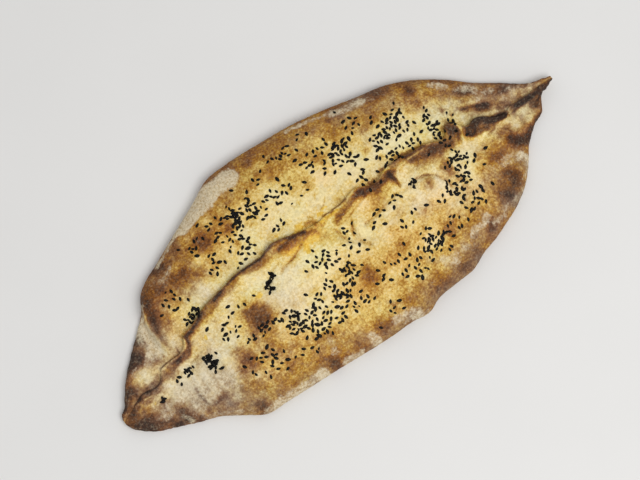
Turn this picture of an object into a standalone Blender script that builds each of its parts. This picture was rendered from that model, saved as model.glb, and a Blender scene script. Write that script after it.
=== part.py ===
"""A closed, boat-shaped calzone: a sheet of dough folded over its filling from both long sides, with the near
flap lapped over the far one along a raised seam, flat pinched tails at both ends, and black seeds on top.

Run it with: blender --background --python part.py
The calzone lies along X. The near flap is on the -Y side, the far flap on the +Y side, and it rests on Z = 0.
"""

import math
import random

import bmesh
import bpy
import numpy as np
from mathutils import Matrix, Vector, noise
from mathutils.bvhtree import BVHTree

MM = 0.001

# The places on the crust are given as they are seen from a little off straight above, from the near left. What
# stands high looks shifted along and across the calzone by these shares of its height.
SLANT_ALONG, SLANT_ACROSS = 0.084, 0.108
# They were read off this much too large, and this far in mm too much to the right and the back.
READ_SCALE, READ_RIGHT, READ_BACK = 1.014, 0.95, 0.75

# Outline seen from above, in mm. Each list runs from the left tip to the right tip.
LEFT_TIP = -197.0
RIGHT_TIP = 196.5
FAR_EDGE = (
    (-197, -14), (-195.5, -11), (-190, -7), (-185, 0), (-178, 8), (-165, 19.3), (-150, 31), (-140, 39.8),
    (-134, 48.6), (-126, 54.2), (-110, 60.5), (-90, 68.5), (-62, 79.5), (-47, 86), (-27, 86.6), (0, 84),
    (25, 80.8), (50, 75.3), (75, 68.2), (100, 61.2), (120, 50.4), (138, 36.2), (150, 24.6), (165, 12.8),
    (182, -1.2), (190, -4), (196.5, -6),
)
NEAR_EDGE = (
    (-197, -17), (-195.5, -21), (-191, -27), (-184, -33), (-172, -39.5), (-155, -47.5), (-140, -54),
    (-126, -64), (-113, -73), (-100, -74.5), (-75, -77), (-50, -79.5), (-30, -82), (-8, -84), (8, -84.8),
    (21, -87), (34, -83), (50, -82.5), (66, -82), (80, -77), (92, -74.5), (104, -70.6), (119, -65.2),
    (133, -57), (144, -47), (153, -36.5), (166, -27), (178.5, -19.6), (181.4, -14.6), (190, -11),
    (196.5, -8.5),
)
# Free edge of the near flap, where it laps over the far flap.
LIP_LINE = (
    (-199, -15), (-188, -11), (-182, -8.5), (-176, -6.5), (-171, -7.2), (-166, -8.4), (-161, -8),
    (-157.5, -5), (-154, -0.5), (-150, 0.5), (-145, 0.7), (-139, 0.6), (-134, 1.2), (-130, 3.6), (-127, 8),
    (-123, 10.4), (-118, 11), (-112, 13), (-106, 15.2), (-100, 16.6), (-92, 17.8), (-82, 19.2), (-74, 20.5),
    (-66, 21.3), (-61, 20.4), (-54, 19.8), (-49, 19.4), (-45, 20.2), (-41, 21.8), (-36, 23), (-31, 22),
    (-25, 20.3), (-19, 18.4), (-12, 16.4), (-5, 15), (2, 14.6), (8, 15.4), (15, 15), (23, 15.2), (29, 16.6),
    (34, 17.6), (38, 16.8), (42, 14.7), (46, 12.5), (50, 11.8), (54, 12.2), (58, 14.2), (62, 15.2),
    (70, 15.3), (78, 14.5), (86, 13.2), (94, 12.2), (100, 10.2), (105, 7.8), (109, 7), (112, 9),
    (114.5, 12.4), (117.5, 13.5), (120.5, 12.2), (123, 8.4), (126, 5), (130, 3.4), (134, 4.6), (138, 4.6),
    (142, 2.4), (147, -1.8), (151, -4.2), (155, -5.4), (159, -5.2), (163, -4), (170, -4.4), (178, -5.3),
    (186, -6), (200.5, -7.2),
)

# Heights above the table, in mm, as (x, height).
NEAR_CROWN = (
    (-197, 3.6), (-192, 5.4), (-180, 7), (-160, 9), (-140, 12.5), (-115, 20), (-80, 26), (-30, 29), (30, 30),
    (75, 28), (110, 22), (140, 14.5), (160, 9.5), (180, 7.5), (190, 6.4), (196.5, 4),
)
FAR_CROWN = (
    (-197, 3.6), (-192, 5.4), (-180, 7), (-160, 8.5), (-144, 9.5), (-136, 16), (-115, 20.5), (-80, 25),
    (-30, 28), (30, 28), (75, 26), (110, 21), (140, 14.5), (160, 10), (180, 7.5), (190, 6.4), (196.5, 4),
)
EDGE_MIDDLE = ((-197, 2.2), (-150, 3), (-120, 5), (-60, 7), (60, 7), (120, 5), (155, 3), (196.5, 2.2))
LIP_STEP = (
    (-197, 0.6), (-185, 1.5), (-172, 2.5), (-150, 3.5), (-140, 4.5), (-128, 5.5), (-60, 6.0), (-30, 6.0),
    (-12, 4.5), (3, 2.6), (15, 3.2), (32, 5.0), (50, 6.0), (100, 5.5), (116, 6.0), (130, 7.0), (145, 6.5),
    (154, 4.0), (159, 2.4), (165, 3.8), (180, 3.0), (190, 2.0), (196.5, 0.6),
)
# The tails curl off the table: from where, and how far the tips stand off it.
LEFT_CURL_FROM, LEFT_CURL = -160.0, 2.0
RIGHT_CURL_FROM, RIGHT_CURL = 150.0, 4.5
DOME_POWER = ((-197, 6.0), (-150, 4.5), (-110, 2.7), (0, 2.5), (110, 2.7), (150, 4.0), (196.5, 5.0))

# The lip's rounded edge: its radius, held to these shares of the step there and of each flap's width, and
# how far it turns up and down from level.
LIP_RADIUS = 2.1
LIP_SHARE_OF_STEP, LIP_SHARE_OF_FLAP = 0.42, 0.3
LIP_TURN = 60.0
LIP_ROLL_HEIGHT = 2.6
LIP_ROLL_WIDTH = 5.0
VALLEY_WIDTH = 8.0
# The outer edges are rounded off underneath, over this share of their middle's height or of the whole width.
CORNER_SHARE, CORNER_SHARE_OF_WIDTH = 0.9, 0.25
SIDE_SHARES = (0.25, 0.6, 1.0)
# The relief fades out from these shares of the way to the outer edge.
NEAR_RIM, FAR_RIM = 0.9, 0.88

# The far flap ends in a rounded fold that stands above the left tail: the fold's line is a parabola in y.
POCKET_X, POCKET_Y, POCKET_BOW, POCKET_REACH = -145.2, 16.0, 9.0, 34.0
POCKET_STEP, POCKET_RISE = 4.5, 4.5
POCKET_LEVEL_FROM, POCKET_LEVEL_TO = -143.0, -110.0

# The filling's lumps and the dough's waviness: (size, height, which pattern).
WAVES = ((38.0, 1.3, 2.3), (19.0, 0.8, 0.3))

# Raised blisters and hollows: (x, y, half length, half width, height).
BLISTERS = (
    (-75, -13, 13, 12, 2.0), (-102, -33, 8, 9, 1.2), (6, -36, 10, 8, 1.3), (38, -36, 9, 7, 0.8),
    (60, 35, 6, 5, 0.8), (116, 8, 5, 5, 2.2), (30, 10, 14, 4, 0.9), (57, 8, 8, 4, 1.6), (82, -14, 14, 7, 1.6),
    (48, 1, 14, 5, 1.0), (-50, 55, 15, 8, 1.3), (-78, 52, 9, 8, 1.5), (-105, 48, 11, 8, 1.6),
    (-128, 40, 7, 10, 1.5), (10, 65, 20, 8, 1.0), (75, 50, 16, 8, 1.0), (120, -45, 12, 10, 1.6),
    (150, -25, 9, 7, 1.8), (-164, 1, 9, 6, 1.2), (-163, 16, 8, 5, 1.4), (-156, -40, 6, 6, 1.6),
    (163, -17, 13, 5, -1.6), (-20, -20, 22, 14, -1.2), (-135, -22, 12, 14, -1.2), (14, -9, 5, 8, -2.2),
    (-58, 0, 12, 10, -1.2), (-27, 13, 9, 5, 1.8), (-58, 14, 14, 4, 0.8), (130, -10, 12, 4, -1.0),
    (72, 3, 8, 6, -1.0), (-5, 17, 5, 3.5, 1.2), (168, 9, 9, 5, 1.0), (-147, 20, 5, 16, -0.8),
)
# Creases and pinched pleats: ((x, y) ..., half width, height), drawn along straight runs between the points.
PLEATS = (
    (((-47, 7), (-52, 3), (-57, 0), (-54, -4)), 1.5, -1.8),
    (((-54, -4), (-53, -12), (-54, -26)), 3.5, -0.9),
    (((-42, 2.5), (-36, 4), (-31, 4.5), (-25, 6.2), (-19, 9)), 1.4, -1.4),
    (((-119, -5), (-121, -14), (-121, -30), (-116, -40)), 2.0, -1.2),
    (((-133, -9), (-126, -8.5)), 1.2, -0.6),
    (((-147, -18), (-147, -34), (-143, -46)), 4.0, -1.2),
    (((7, 3), (8, -4), (11, -10), (14, -11), (17, -14), (20, -20)), 2.2, -2.0),
    (((19, 0), (16, -5), (15, -9)), 1.3, -1.6),
    (((26, -7), (36, -6.8), (44, -5.6), (56, -3.6), (64, -4.6), (70, -4)), 1.4, -1.3),
    (((70, -4), (76, -3.8), (82, -6), (88, -11), (92, -18), (93, -25)), 1.8, -1.6),
    (((62, 12), (62.5, 6), (63.3, 0)), 1.6, -1.6),
    (((60, 14.5), (66, 10.5), (71, 9.8), (79, 10.4)), 1.3, 1.4),
    (((104, 0), (112, -4), (119, -6)), 1.8, -1.0),
    (((123, 6), (121.5, 1), (119, -5)), 1.6, 1.8),
    (((133, 13), (138, 11), (143, 8.5), (150, 5)), 2.6, 2.4),
    (((128, 7), (136, 8.5), (144, 4.5), (152, 1)), 2.4, -1.2),
    (((153, -1), (161, -0.5)), 2.2, 1.8),
    (((157, -3.5), (157.5, -9)), 1.8, 2.2),
    (((165, 1), (172, 2), (178, 4)), 2.0, 1.0),
    (((130, -6), (140, -7.5), (152, -9.5), (166, -10), (182, -10.5)), 2.4, 1.4),
    (((137, -11), (144, -9.8)), 1.2, -1.0),
    (((146, -13), (151, -18), (156, -23), (172, -21.5)), 1.8, 1.2),
    (((-150, -9), (-165, -12), (-180, -14)), 4.0, 1.6),
    (((-172, -21), (-188, -22)), 2.5, 1.0),
    (((-170, -28), (-183, -29)), 2.2, -0.8),
    (((-175, 10), (-184, 5)), 2.4, 1.4),
    (((-164, -36), (-158, -46)), 1.8, 0.8),
    (((-136, 7), (-137, 1)), 1.4, -1.4),
)
# The narrowest crease that this solid's faces can hold. A narrower one is drawn this wide and less deep.
NARROWEST = 3.2

# Sprinkled pinches of seed: (x, y, spread along x, spread along y, count).
PINCHES = (
    (-118, 31, 8, 7, 13), (-112.5, 15.5, 4.5, 3.2, 18), (-78, 55, 8, 4, 9), (-78, 38, 6, 5, 9),
    (-58, 60, 5, 4, 8), (-60, 44, 4, 7, 10), (-45, 54, 4, 5, 17), (-48, 40, 4, 6, 13), (-56, 28, 9, 4, 10),
    (-32, 52, 8, 5, 18), (-18, 62, 14, 6, 7), (-15, 47, 9, 5, 13), (0, 46, 6, 8, 8), (-22, 30, 6, 3, 5),
    (15, 70, 17, 5, 16), (28, 53, 8, 5, 13), (33, 44, 7, 3, 11), (46, 44, 6, 7, 28), (48, 22, 4, 7, 12),
    (66, 53, 9, 3, 10), (73, 35, 5, 5, 18), (86, 36, 6, 8, 26), (94, 44, 4, 4, 7), (70, 19, 11, 4, 16),
    (93, 22, 7, 5, 10), (109, 19, 4, 8, 22), (123, 16, 4, 4, 6), (113, 2, 10, 4, 9), (-165, -19, 2, 1, 3),
    (-149, -14, 2, 2, 3), (-139, -13, 4, 2, 9), (-121, -18, 3, 6, 26), (-98, -6, 7, 6, 14), (-82, 1, 7, 2, 4),
    (-49, 5, 1.5, 1.5, 8), (-53, 2.5, 1.5, 1, 6), (-57, -0.5, 1, 1.5, 5), (-54.5, -3, 1.2, 1, 5),
    (-73, -22, 10, 3, 17), (-53, -27, 2, 3, 8), (-57, -36, 5, 5, 18), (-44, -40, 8, 8, 28),
    (-87, -40, 12, 9, 22), (-68, -54, 12, 5, 8), (-18, -8, 6, 4, 12), (-7, -13, 7, 4, 11),
    (-27, -25, 7, 5, 11), (-2, -27, 4, 4, 15), (-17, -36, 6, 5, 24), (-15, -49, 12, 4, 15),
    (-38, -53, 8, 3, 6), (2, -68, 10, 4, 7), (14, -8, 5, 6, 10), (36, -9, 4, 3, 6), (54, -7, 7, 3, 7),
    (72, -5, 2, 2, 9), (52, -25, 16, 4, 8), (22, -43, 12, 4, 13), (36, -57, 7, 5, 15), (58, -48, 7, 7, 32),
    (76, -48, 8, 6, 11), (92, -27, 5, 5, 18), (103, -22, 4, 5, 14), (108, -10, 6, 4, 20),
    (100, -42, 8, 4, 13), (8, -22, 6, 6, 5), (112, -32, 12, 12, 7),
)
SEED_LENGTH, SEED_WIDTH, SEED_THICKNESS = 3.6, 2.15, 1.2
SEED_TAPER = 0.35
SEED_SIZE_SPREAD = 0.14
SEED_SUNK = 0.12
# Sprinkled seeds keep this far apart, or less in a pile, as its area and this factor let them.
SEED_CLEARANCE, PILE_ROOM = 2.3, 1.5
PINCH_SCATTER = 0.75
TRIES_PER_SEED = 12
SPRINKLE_SEED = 17
# Of them, the solid has the first ones that lie this far apart, on slopes that aren't too steep.
SEEDS_FUSED = 190
SEED_SPACING = 5.2
LEAST_UPRIGHT = 0.6

# How finely the solid is cut: stations along it, and points across each flap, round the lip and underneath.
STATION_COUNT = 76
END_INSET, TIP_GRADING = 0.4, 16.0
OUTLINE_SAMPLES = 400
NEAR_POINTS, LIP_POINTS, FAR_POINTS, UNDER_POINTS = 11, 3, 10, 4

CRUST_COLOUR = (0.52, 0.30, 0.11, 1.0)
CRUST_ROUGHNESS = 0.75
SMOOTH_BELOW = math.radians(40)


def curve_through(points):
    """A smooth function of x through the points: a cubic between each two, sloped at each by its neighbours."""
    xs, ys = np.array(points, float).T
    slopes = np.gradient(ys, xs)

    def value(x):
        x = np.clip(x, xs[0], xs[-1])
        i = np.clip(np.searchsorted(xs, x) - 1, 0, len(xs) - 2)
        width = xs[i + 1] - xs[i]
        t = (x - xs[i]) / width
        start = (1 + 2 * t) * (1 - t) ** 2 * ys[i] + t * (1 - t) ** 2 * width * slopes[i]
        end = t * t * (3 - 2 * t) * ys[i + 1] + t * t * (t - 1) * width * slopes[i + 1]
        return start + end

    return value


far_edge = curve_through(FAR_EDGE)
near_edge = curve_through(NEAR_EDGE)
near_crown = curve_through(NEAR_CROWN)
far_crown = curve_through(FAR_CROWN)
edge_middle = curve_through(EDGE_MIDDLE)
lip_step = curve_through(LIP_STEP)
dome_power = curve_through(DOME_POWER)


def settled(place):
    """A place, (x, y) and whatever follows, moved from where it is seen to where it lies on the crust."""
    x, y, *rest = place
    x, y = (x - READ_RIGHT) / READ_SCALE, (y - READ_BACK) / READ_SCALE
    near, far = near_edge(x), far_edge(x)
    share = min(1, abs(2 * y - near - far) / (far - near))
    rise = near_crown(x) * math.sqrt(1 - share ** dome_power(x))
    return (x - SLANT_ALONG * rise, y - SLANT_ACROSS * rise, *rest)


lip_line = curve_through([settled(place) for place in LIP_LINE])


def smooth_step(low, high, value):
    t = np.clip((value - low) / (high - low), 0, 1)
    return t * t * (3 - 2 * t)


def lift(x):
    """How far the underside stands off the table: nothing but for the curled tails."""
    left = np.maximum(0, LEFT_CURL_FROM - x) / (LEFT_CURL_FROM - LEFT_TIP)
    right = np.maximum(0, x - RIGHT_CURL_FROM) / (RIGHT_TIP - RIGHT_CURL_FROM)
    return LEFT_CURL * left**2 + RIGHT_CURL * right**2


def distance_to_run(x, y, run):
    """Distance from each (x, y) to the broken line through the run's places."""
    nearest = np.full(np.shape(x), np.inf)
    points = [settled(place) for place in run]
    for (ax, ay), (bx, by) in zip(points, points[1:]):
        dx, dy = bx - ax, by - ay
        share = np.clip(((x - ax) * dx + (y - ay) * dy) / (dx * dx + dy * dy), 0, 1)
        nearest = np.minimum(nearest, np.hypot(x - ax - share * dx, y - ay - share * dy))
    return nearest


def noise_over(x, y, size, level):
    """Smooth noise from about -1 to 1, with lumps of this size in mm. Each level is its own pattern."""
    values = [noise.noise((px / size, py / size, level)) for px, py in zip(np.ravel(x), np.ravel(y))]
    return np.reshape(values, np.shape(x))


def relief(x, y):
    """Everything that stands above or below the smooth domes: lumps, blisters, creases and pleats."""
    height = sum(rise * noise_over(x, y, size, level) for size, rise, level in WAVES)
    for px, py, half_length, half_width, rise in map(settled, BLISTERS):
        height = height + rise * np.exp(-(((x - px) / half_length) ** 2) - ((y - py) / half_width) ** 2)
    for run, half_width, rise in PLEATS:
        drawn = max(half_width, NARROWEST)
        height = height + rise * half_width / drawn * np.exp(-((distance_to_run(x, y, run) / drawn) ** 2))
    return height


def dome(x, share, crown):
    """Height of a flap at a share of the way from the seam, 0, to the outer edge, 1."""
    low = edge_middle(x)
    return low + (crown - low) * np.sqrt(np.maximum(0, 1 - share ** dome_power(x)))


def near_height(x, y):
    """Top of the near flap, with the rolled ridge along its free edge."""
    lip = lip_line(x)
    share = np.clip((lip - y) / (lip - near_edge(x)), 0, 1)
    ridge = LIP_ROLL_HEIGHT * np.exp(-(((lip - y - LIP_RADIUS) / LIP_ROLL_WIDTH) ** 2))
    body = dome(x, share, near_crown(x))
    rim_fade = smooth_step(1, NEAR_RIM, share)
    return body + rim_fade * (relief(x, y) + ridge * smooth_step(0.5, 4.0, lip_step(x)))


def far_height(x, y, groove):
    """Top of the far flap, which dips under the near one to the groove's height."""
    lip = lip_line(x)
    share = np.clip((y - lip) / (far_edge(x) - lip), 0, 1)
    fold = POCKET_X + POCKET_BOW * ((y - POCKET_Y) / POCKET_REACH) ** 2
    levelling = smooth_step(POCKET_LEVEL_FROM, POCKET_LEVEL_TO, x)
    step = POCKET_STEP * (smooth_step(0, POCKET_RISE, x - fold) - levelling)
    rim_fade = smooth_step(1, FAR_RIM, share)
    body = dome(x, share, far_crown(x)) + rim_fade * (relief(x, y) + step)
    valley = np.exp(-(((y - lip) / VALLEY_WIDTH) ** 2))
    return body + (groove - body) * valley


def close_at_both_ends(count):
    """Shares from 0 to 1, closer together at both ends, where the dough turns over."""
    return (1 - np.cos(np.linspace(0, math.pi, count))) / 2


def cross_section(x):
    """One closed loop of (y, z) points at x, from the near edge over the top to the far edge and back under."""
    near, far, lip = near_edge(x), far_edge(x), lip_line(x)
    middle = edge_middle(x)
    step = lip_step(x)
    radius = min(LIP_RADIUS, LIP_SHARE_OF_STEP * step, LIP_SHARE_OF_FLAP * min(lip - near, far - lip))

    share = close_at_both_ends(NEAR_POINTS)[::-1]
    near_y = (lip - radius) - (lip - radius - near) * share
    near_z = near_height(np.full_like(near_y, x), near_y)
    crest = near_z[-1]
    groove = crest - step

    turn = np.radians(np.linspace(LIP_TURN, -LIP_TURN, LIP_POINTS))
    lip_y = lip - radius + radius * np.cos(turn)
    lip_z = crest - radius + radius * np.sin(turn)

    share = close_at_both_ends(FAR_POINTS)
    start = lip - radius / 3
    far_y = start + (far - start) * share
    far_z = far_height(np.full_like(far_y, x), np.maximum(far_y, lip), groove)
    far_z[0] = groove

    corner = min(CORNER_SHARE * middle, CORNER_SHARE_OF_WIDTH * (far - near))
    side = np.array(SIDE_SHARES)
    far_under_y = far - corner * (1 - np.sqrt(1 - side**2))
    near_under_y = near + corner * (1 - np.sqrt(1 - side**2))
    side_z = middle * (1 - side)
    under_y = np.linspace(far - corner, near + corner, UNDER_POINTS)[1:-1]

    loop_y = np.concatenate([near_y, lip_y, far_y, far_under_y, under_y, near_under_y[::-1]])
    loop_z = np.concatenate([near_z, lip_z, far_z, side_z, np.zeros_like(under_y), side_z[::-1]])
    return loop_y, loop_z + lift(x)


def station_places(count):
    """X of each cross-section: even along the body, closer together towards the blunt tips."""
    even = np.linspace(-1, 1, count)
    reach = (RIGHT_TIP - LEFT_TIP) / 2 - END_INSET
    rounded = even * (1 + (1 - np.abs(even)) * TIP_GRADING / reach)
    return (RIGHT_TIP + LEFT_TIP) / 2 + reach * rounded


def centre_of_outline():
    """Middle of the outline's box, which the model is moved to."""
    x = station_places(OUTLINE_SAMPLES)
    return (x.min() + x.max()) / 2, (near_edge(x).min() + far_edge(x).max()) / 2


def loft_dough():
    """The dough as one closed mesh: a ring of vertices at each station, joined ring to ring, with capped tips."""
    centre_x, centre_y = centre_of_outline()
    body = bmesh.new()
    rings = []
    for x in station_places(STATION_COUNT):
        loop_y, loop_z = cross_section(x)
        places = [((x - centre_x) * MM, (y - centre_y) * MM, z * MM) for y, z in zip(loop_y, loop_z)]
        rings.append([body.verts.new(place) for place in places])
    for ring, following in zip(rings, rings[1:]):
        for i in range(len(ring)):
            j = (i + 1) % len(ring)
            body.faces.new((ring[i], ring[j], following[j], following[i]))
    body.faces.new(rings[0][::-1])
    body.faces.new(rings[-1])
    bmesh.ops.recalc_face_normals(body, faces=body.faces)
    mesh = bpy.data.meshes.new("calzone")
    body.to_mesh(mesh)
    body.free()
    return mesh


def seed_mesh():
    """One seed: a low ball drawn out to a drop, as long as SEED_LENGTH and narrower at one end."""
    ball = bmesh.new()
    bmesh.ops.create_icosphere(ball, subdivisions=1, radius=0.5)
    for vertex in ball.verts:
        taper = 1 - SEED_TAPER * max(0, vertex.co.x)
        vertex.co.x *= SEED_LENGTH * MM
        vertex.co.y *= SEED_WIDTH * MM * taper
        vertex.co.z *= SEED_THICKNESS * MM
    mesh = bpy.data.meshes.new("seed")
    ball.to_mesh(mesh)
    ball.free()
    return mesh


def sprinkled_places():
    """(x, y, turn, size) of each seed in mm and radians, in an order that takes one from every pinch in turn.

    The seeds of a pinch keep clear of each other as far as its area lets them, so a tight one stays a pile.
    """
    draw = random.Random(SPRINKLE_SEED)
    places = []
    for i in range(max(count for *_, count in PINCHES)):
        for middle_x, middle_y, spread_x, spread_y, count in map(settled, PINCHES):
            if i >= count:
                continue
            clear = min(SEED_CLEARANCE, PILE_ROOM * math.sqrt(spread_x * spread_y / count))
            for _ in range(TRIES_PER_SEED):
                x = middle_x + draw.gauss(0, PINCH_SCATTER) * spread_x
                y = middle_y + draw.gauss(0, PINCH_SCATTER) * spread_y
                if all(math.hypot(x - ox, y - oy) > clear for ox, oy, _, _ in places):
                    break
            places.append((x, y, draw.uniform(0, math.tau), draw.gauss(1, SEED_SIZE_SPREAD)))
    return places


def sprinkle_seeds(dough, collection):
    """Lays seeds on the dough, each turned to the surface under it and sunk a little, clear of each other."""
    centre_x, centre_y = centre_of_outline()
    surface = BVHTree.FromObject(dough, bpy.context.evaluated_depsgraph_get())
    shared = seed_mesh()
    laid = []
    for x, y, turn, size in sprinkled_places():
        if len(laid) == SEEDS_FUSED:
            break
        if any(math.hypot(x - ox, y - oy) < SEED_SPACING for ox, oy in laid):
            continue
        above = Vector(((x - centre_x) * MM, (y - centre_y) * MM, 0.1))
        point, normal, _, _ = surface.ray_cast(above, Vector((0, 0, -1)))
        if point is None or normal.z < LEAST_UPRIGHT:
            continue
        upright = normal.to_track_quat("Z", "X").to_matrix().to_4x4()
        lowered = point - normal * SEED_SUNK * MM
        seed = bpy.data.objects.new("seed", shared)
        seed.matrix_world = (
            Matrix.Translation(lowered) @ upright @ Matrix.Rotation(turn, 4, "Z") @ Matrix.Scale(size, 4)
        )
        collection.objects.link(seed)
        laid.append((x, y))
    return len(laid)


def crust_material():
    """Baked dough: golden brown and matt."""
    material = bpy.data.materials.new("baked_crust")
    material.use_nodes = True
    shader = material.node_tree.nodes["Principled BSDF"]
    shader.inputs["Base Color"].default_value = CRUST_COLOUR
    shader.inputs["Roughness"].default_value = CRUST_ROUGHNESS
    shader.inputs["Metallic"].default_value = 0.0
    return material


def clear_scene():
    for item in list(bpy.data.objects):
        bpy.data.objects.remove(item)


def new_collection(name):
    collection = bpy.data.collections.new(name)
    bpy.context.scene.collection.children.link(collection)
    return collection


def fuse(dough, collection):
    """Joins every seed in the collection to the dough with one union, then removes the seeds."""
    union = dough.modifiers.new("fused_seeds", "BOOLEAN")
    union.operation = "UNION"
    union.operand_type = "COLLECTION"
    union.collection = collection
    union.solver = "MANIFOLD"
    graph = bpy.context.evaluated_depsgraph_get()
    fused = bpy.data.meshes.new_from_object(dough.evaluated_get(graph))
    dough.modifiers.clear()
    dough.data = fused
    for seed in list(collection.objects):
        bpy.data.objects.remove(seed)
    bpy.data.collections.remove(collection)


def main():
    clear_scene()
    food = new_collection("calzone")
    seeds = new_collection("seeds")
    dough = bpy.data.objects.new("calzone", loft_dough())
    dough.data.materials.append(crust_material())
    food.objects.link(dough)
    bpy.context.view_layer.update()
    sprinkle_seeds(dough, seeds)
    bpy.context.view_layer.update()
    fuse(dough, seeds)
    dough.data.shade_smooth()
    dough.data.set_sharp_from_angle(angle=SMOOTH_BELOW)


main()
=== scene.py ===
"""A baked calzone, sprinkled with black sesame, on a plain floor.

The file is laid out as an add-on. Each piece has an operator: one bakes the crust, one sprinkles the
seeds, and one lays the floor and sets the lights and the camera. The shapes are in millimetres, in the
calzone's own frame: X runs along it, the near flap is on the -Y side, the far flap on the +Y side, and it
rests on Z = 0.
"""

import math
import random

import bpy
import numpy as np
from bpy.props import FloatProperty, FloatVectorProperty, IntProperty, PointerProperty
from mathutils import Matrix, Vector, noise


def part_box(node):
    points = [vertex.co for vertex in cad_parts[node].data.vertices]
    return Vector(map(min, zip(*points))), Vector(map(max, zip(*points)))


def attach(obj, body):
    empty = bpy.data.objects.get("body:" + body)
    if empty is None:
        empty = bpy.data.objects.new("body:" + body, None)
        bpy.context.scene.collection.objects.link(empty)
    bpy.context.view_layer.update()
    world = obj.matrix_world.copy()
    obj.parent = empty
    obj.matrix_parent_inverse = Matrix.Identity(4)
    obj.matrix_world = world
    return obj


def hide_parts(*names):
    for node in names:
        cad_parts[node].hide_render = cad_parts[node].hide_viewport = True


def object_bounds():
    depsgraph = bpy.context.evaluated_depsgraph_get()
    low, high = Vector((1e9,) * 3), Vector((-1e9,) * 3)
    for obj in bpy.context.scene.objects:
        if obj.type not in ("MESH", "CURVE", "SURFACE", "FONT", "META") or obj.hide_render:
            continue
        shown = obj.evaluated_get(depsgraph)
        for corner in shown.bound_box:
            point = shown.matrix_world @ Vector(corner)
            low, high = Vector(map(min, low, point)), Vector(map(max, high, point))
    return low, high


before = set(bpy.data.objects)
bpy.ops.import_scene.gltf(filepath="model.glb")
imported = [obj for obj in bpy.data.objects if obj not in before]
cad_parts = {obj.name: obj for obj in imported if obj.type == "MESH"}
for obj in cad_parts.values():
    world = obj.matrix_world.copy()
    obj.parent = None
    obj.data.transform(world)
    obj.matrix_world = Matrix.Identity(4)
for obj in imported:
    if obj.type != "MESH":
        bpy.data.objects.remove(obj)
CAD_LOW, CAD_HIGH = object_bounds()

bl_info = {
    "name": "Calzone",
    "version": (1, 0, 0),
    "blender": (4, 5, 0),
    "location": "3D View > Sidebar > Calzone",
    "description": "Bakes a folded calzone with black sesame and sets it on a floor",
    "category": "Object",
}

MM = 0.001
BODY = "root"
NODE = "calzone"
# How far the highest seeds may stand above the highest crust.
TOP_SEEDS = 0.3

# The places on the crust are given as they are seen from a little off straight above, from the near left.
# What stands high looks shifted along and across the calzone by these shares of its height.
SLANT_ALONG, SLANT_ACROSS = 0.084, 0.108
# They were read off this much too large, and this far in mm too much to the right and the back.
READ_SCALE, READ_RIGHT, READ_BACK = 1.014, 0.95, 0.75

# Outline seen from above, in mm. Each list runs from the left tip to the right tip.
LEFT_TIP, RIGHT_TIP = -197.0, 196.5
HALF_WIDTH = 87
FAR_EDGE = (
    (-197, -14), (-195.5, -11), (-190, -7), (-185, 0), (-178, 8), (-165, 19.3), (-150, 31), (-140, 39.8),
    (-134, 48.6), (-126, 54.2), (-110, 60.5), (-90, 68.5), (-62, 79.5), (-47, 86), (-27, 86.6), (0, 84),
    (25, 80.8), (50, 75.3), (75, 68.2), (100, 61.2), (120, 50.4), (138, 36.2), (150, 24.6), (165, 12.8),
    (182, -1.2), (190, -4), (196.5, -6),
)
NEAR_EDGE = (
    (-197, -17), (-195.5, -21), (-191, -27), (-184, -33), (-172, -39.5), (-155, -47.5), (-140, -54),
    (-126, -64), (-113, -73), (-100, -74.5), (-75, -77), (-50, -79.5), (-30, -82), (-8, -84), (8, -84.8),
    (21, -87), (34, -83), (50, -82.5), (66, -82), (80, -77), (92, -74.5), (104, -70.6), (119, -65.2),
    (133, -57), (144, -47), (153, -36.5), (166, -27), (178.5, -19.6), (181.4, -14.6), (190, -11),
    (196.5, -8.5),
)
# Free edge of the near flap, where it laps over the far flap.
LIP_LINE = (
    (-199, -15), (-188, -11), (-182, -8.5), (-176, -6.5), (-171, -7.2), (-166, -8.4), (-161, -8),
    (-157.5, -5), (-154, -0.5), (-150, 0.5), (-145, 0.7), (-139, 0.6), (-134, 1.2), (-130, 3.6), (-127, 8),
    (-123, 10.4), (-118, 11), (-112, 13), (-106, 15.2), (-100, 16.6), (-92, 17.8), (-82, 19.2), (-74, 20.5),
    (-66, 21.3), (-61, 20.4), (-54, 19.8), (-49, 19.4), (-45, 20.2), (-41, 21.8), (-36, 23), (-31, 22),
    (-25, 20.3), (-19, 18.4), (-12, 16.4), (-5, 15), (2, 14.6), (8, 15.4), (15, 15), (23, 15.2), (29, 16.6),
    (34, 17.6), (38, 16.8), (42, 14.7), (46, 12.5), (50, 11.8), (54, 12.2), (58, 14.2), (62, 15.2),
    (70, 15.3), (78, 14.5), (86, 13.2), (94, 12.2), (100, 10.2), (105, 7.8), (109, 7), (112, 9),
    (114.5, 12.4), (117.5, 13.5), (120.5, 12.2), (123, 8.4), (126, 5), (130, 3.4), (134, 4.6), (138, 4.6),
    (142, 2.4), (147, -1.8), (151, -4.2), (155, -5.4), (159, -5.2), (163, -4), (170, -4.4), (178, -5.3),
    (186, -6), (200.5, -7.2),
)
# How ragged the outline is in mm, and how much more at the tips, growing between these distances from x = 0.
EDGE_RAGGED = 0.25
TIP_RAGGED, TIP_RAGGED_FROM = 0.55, (140, 190)

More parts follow.
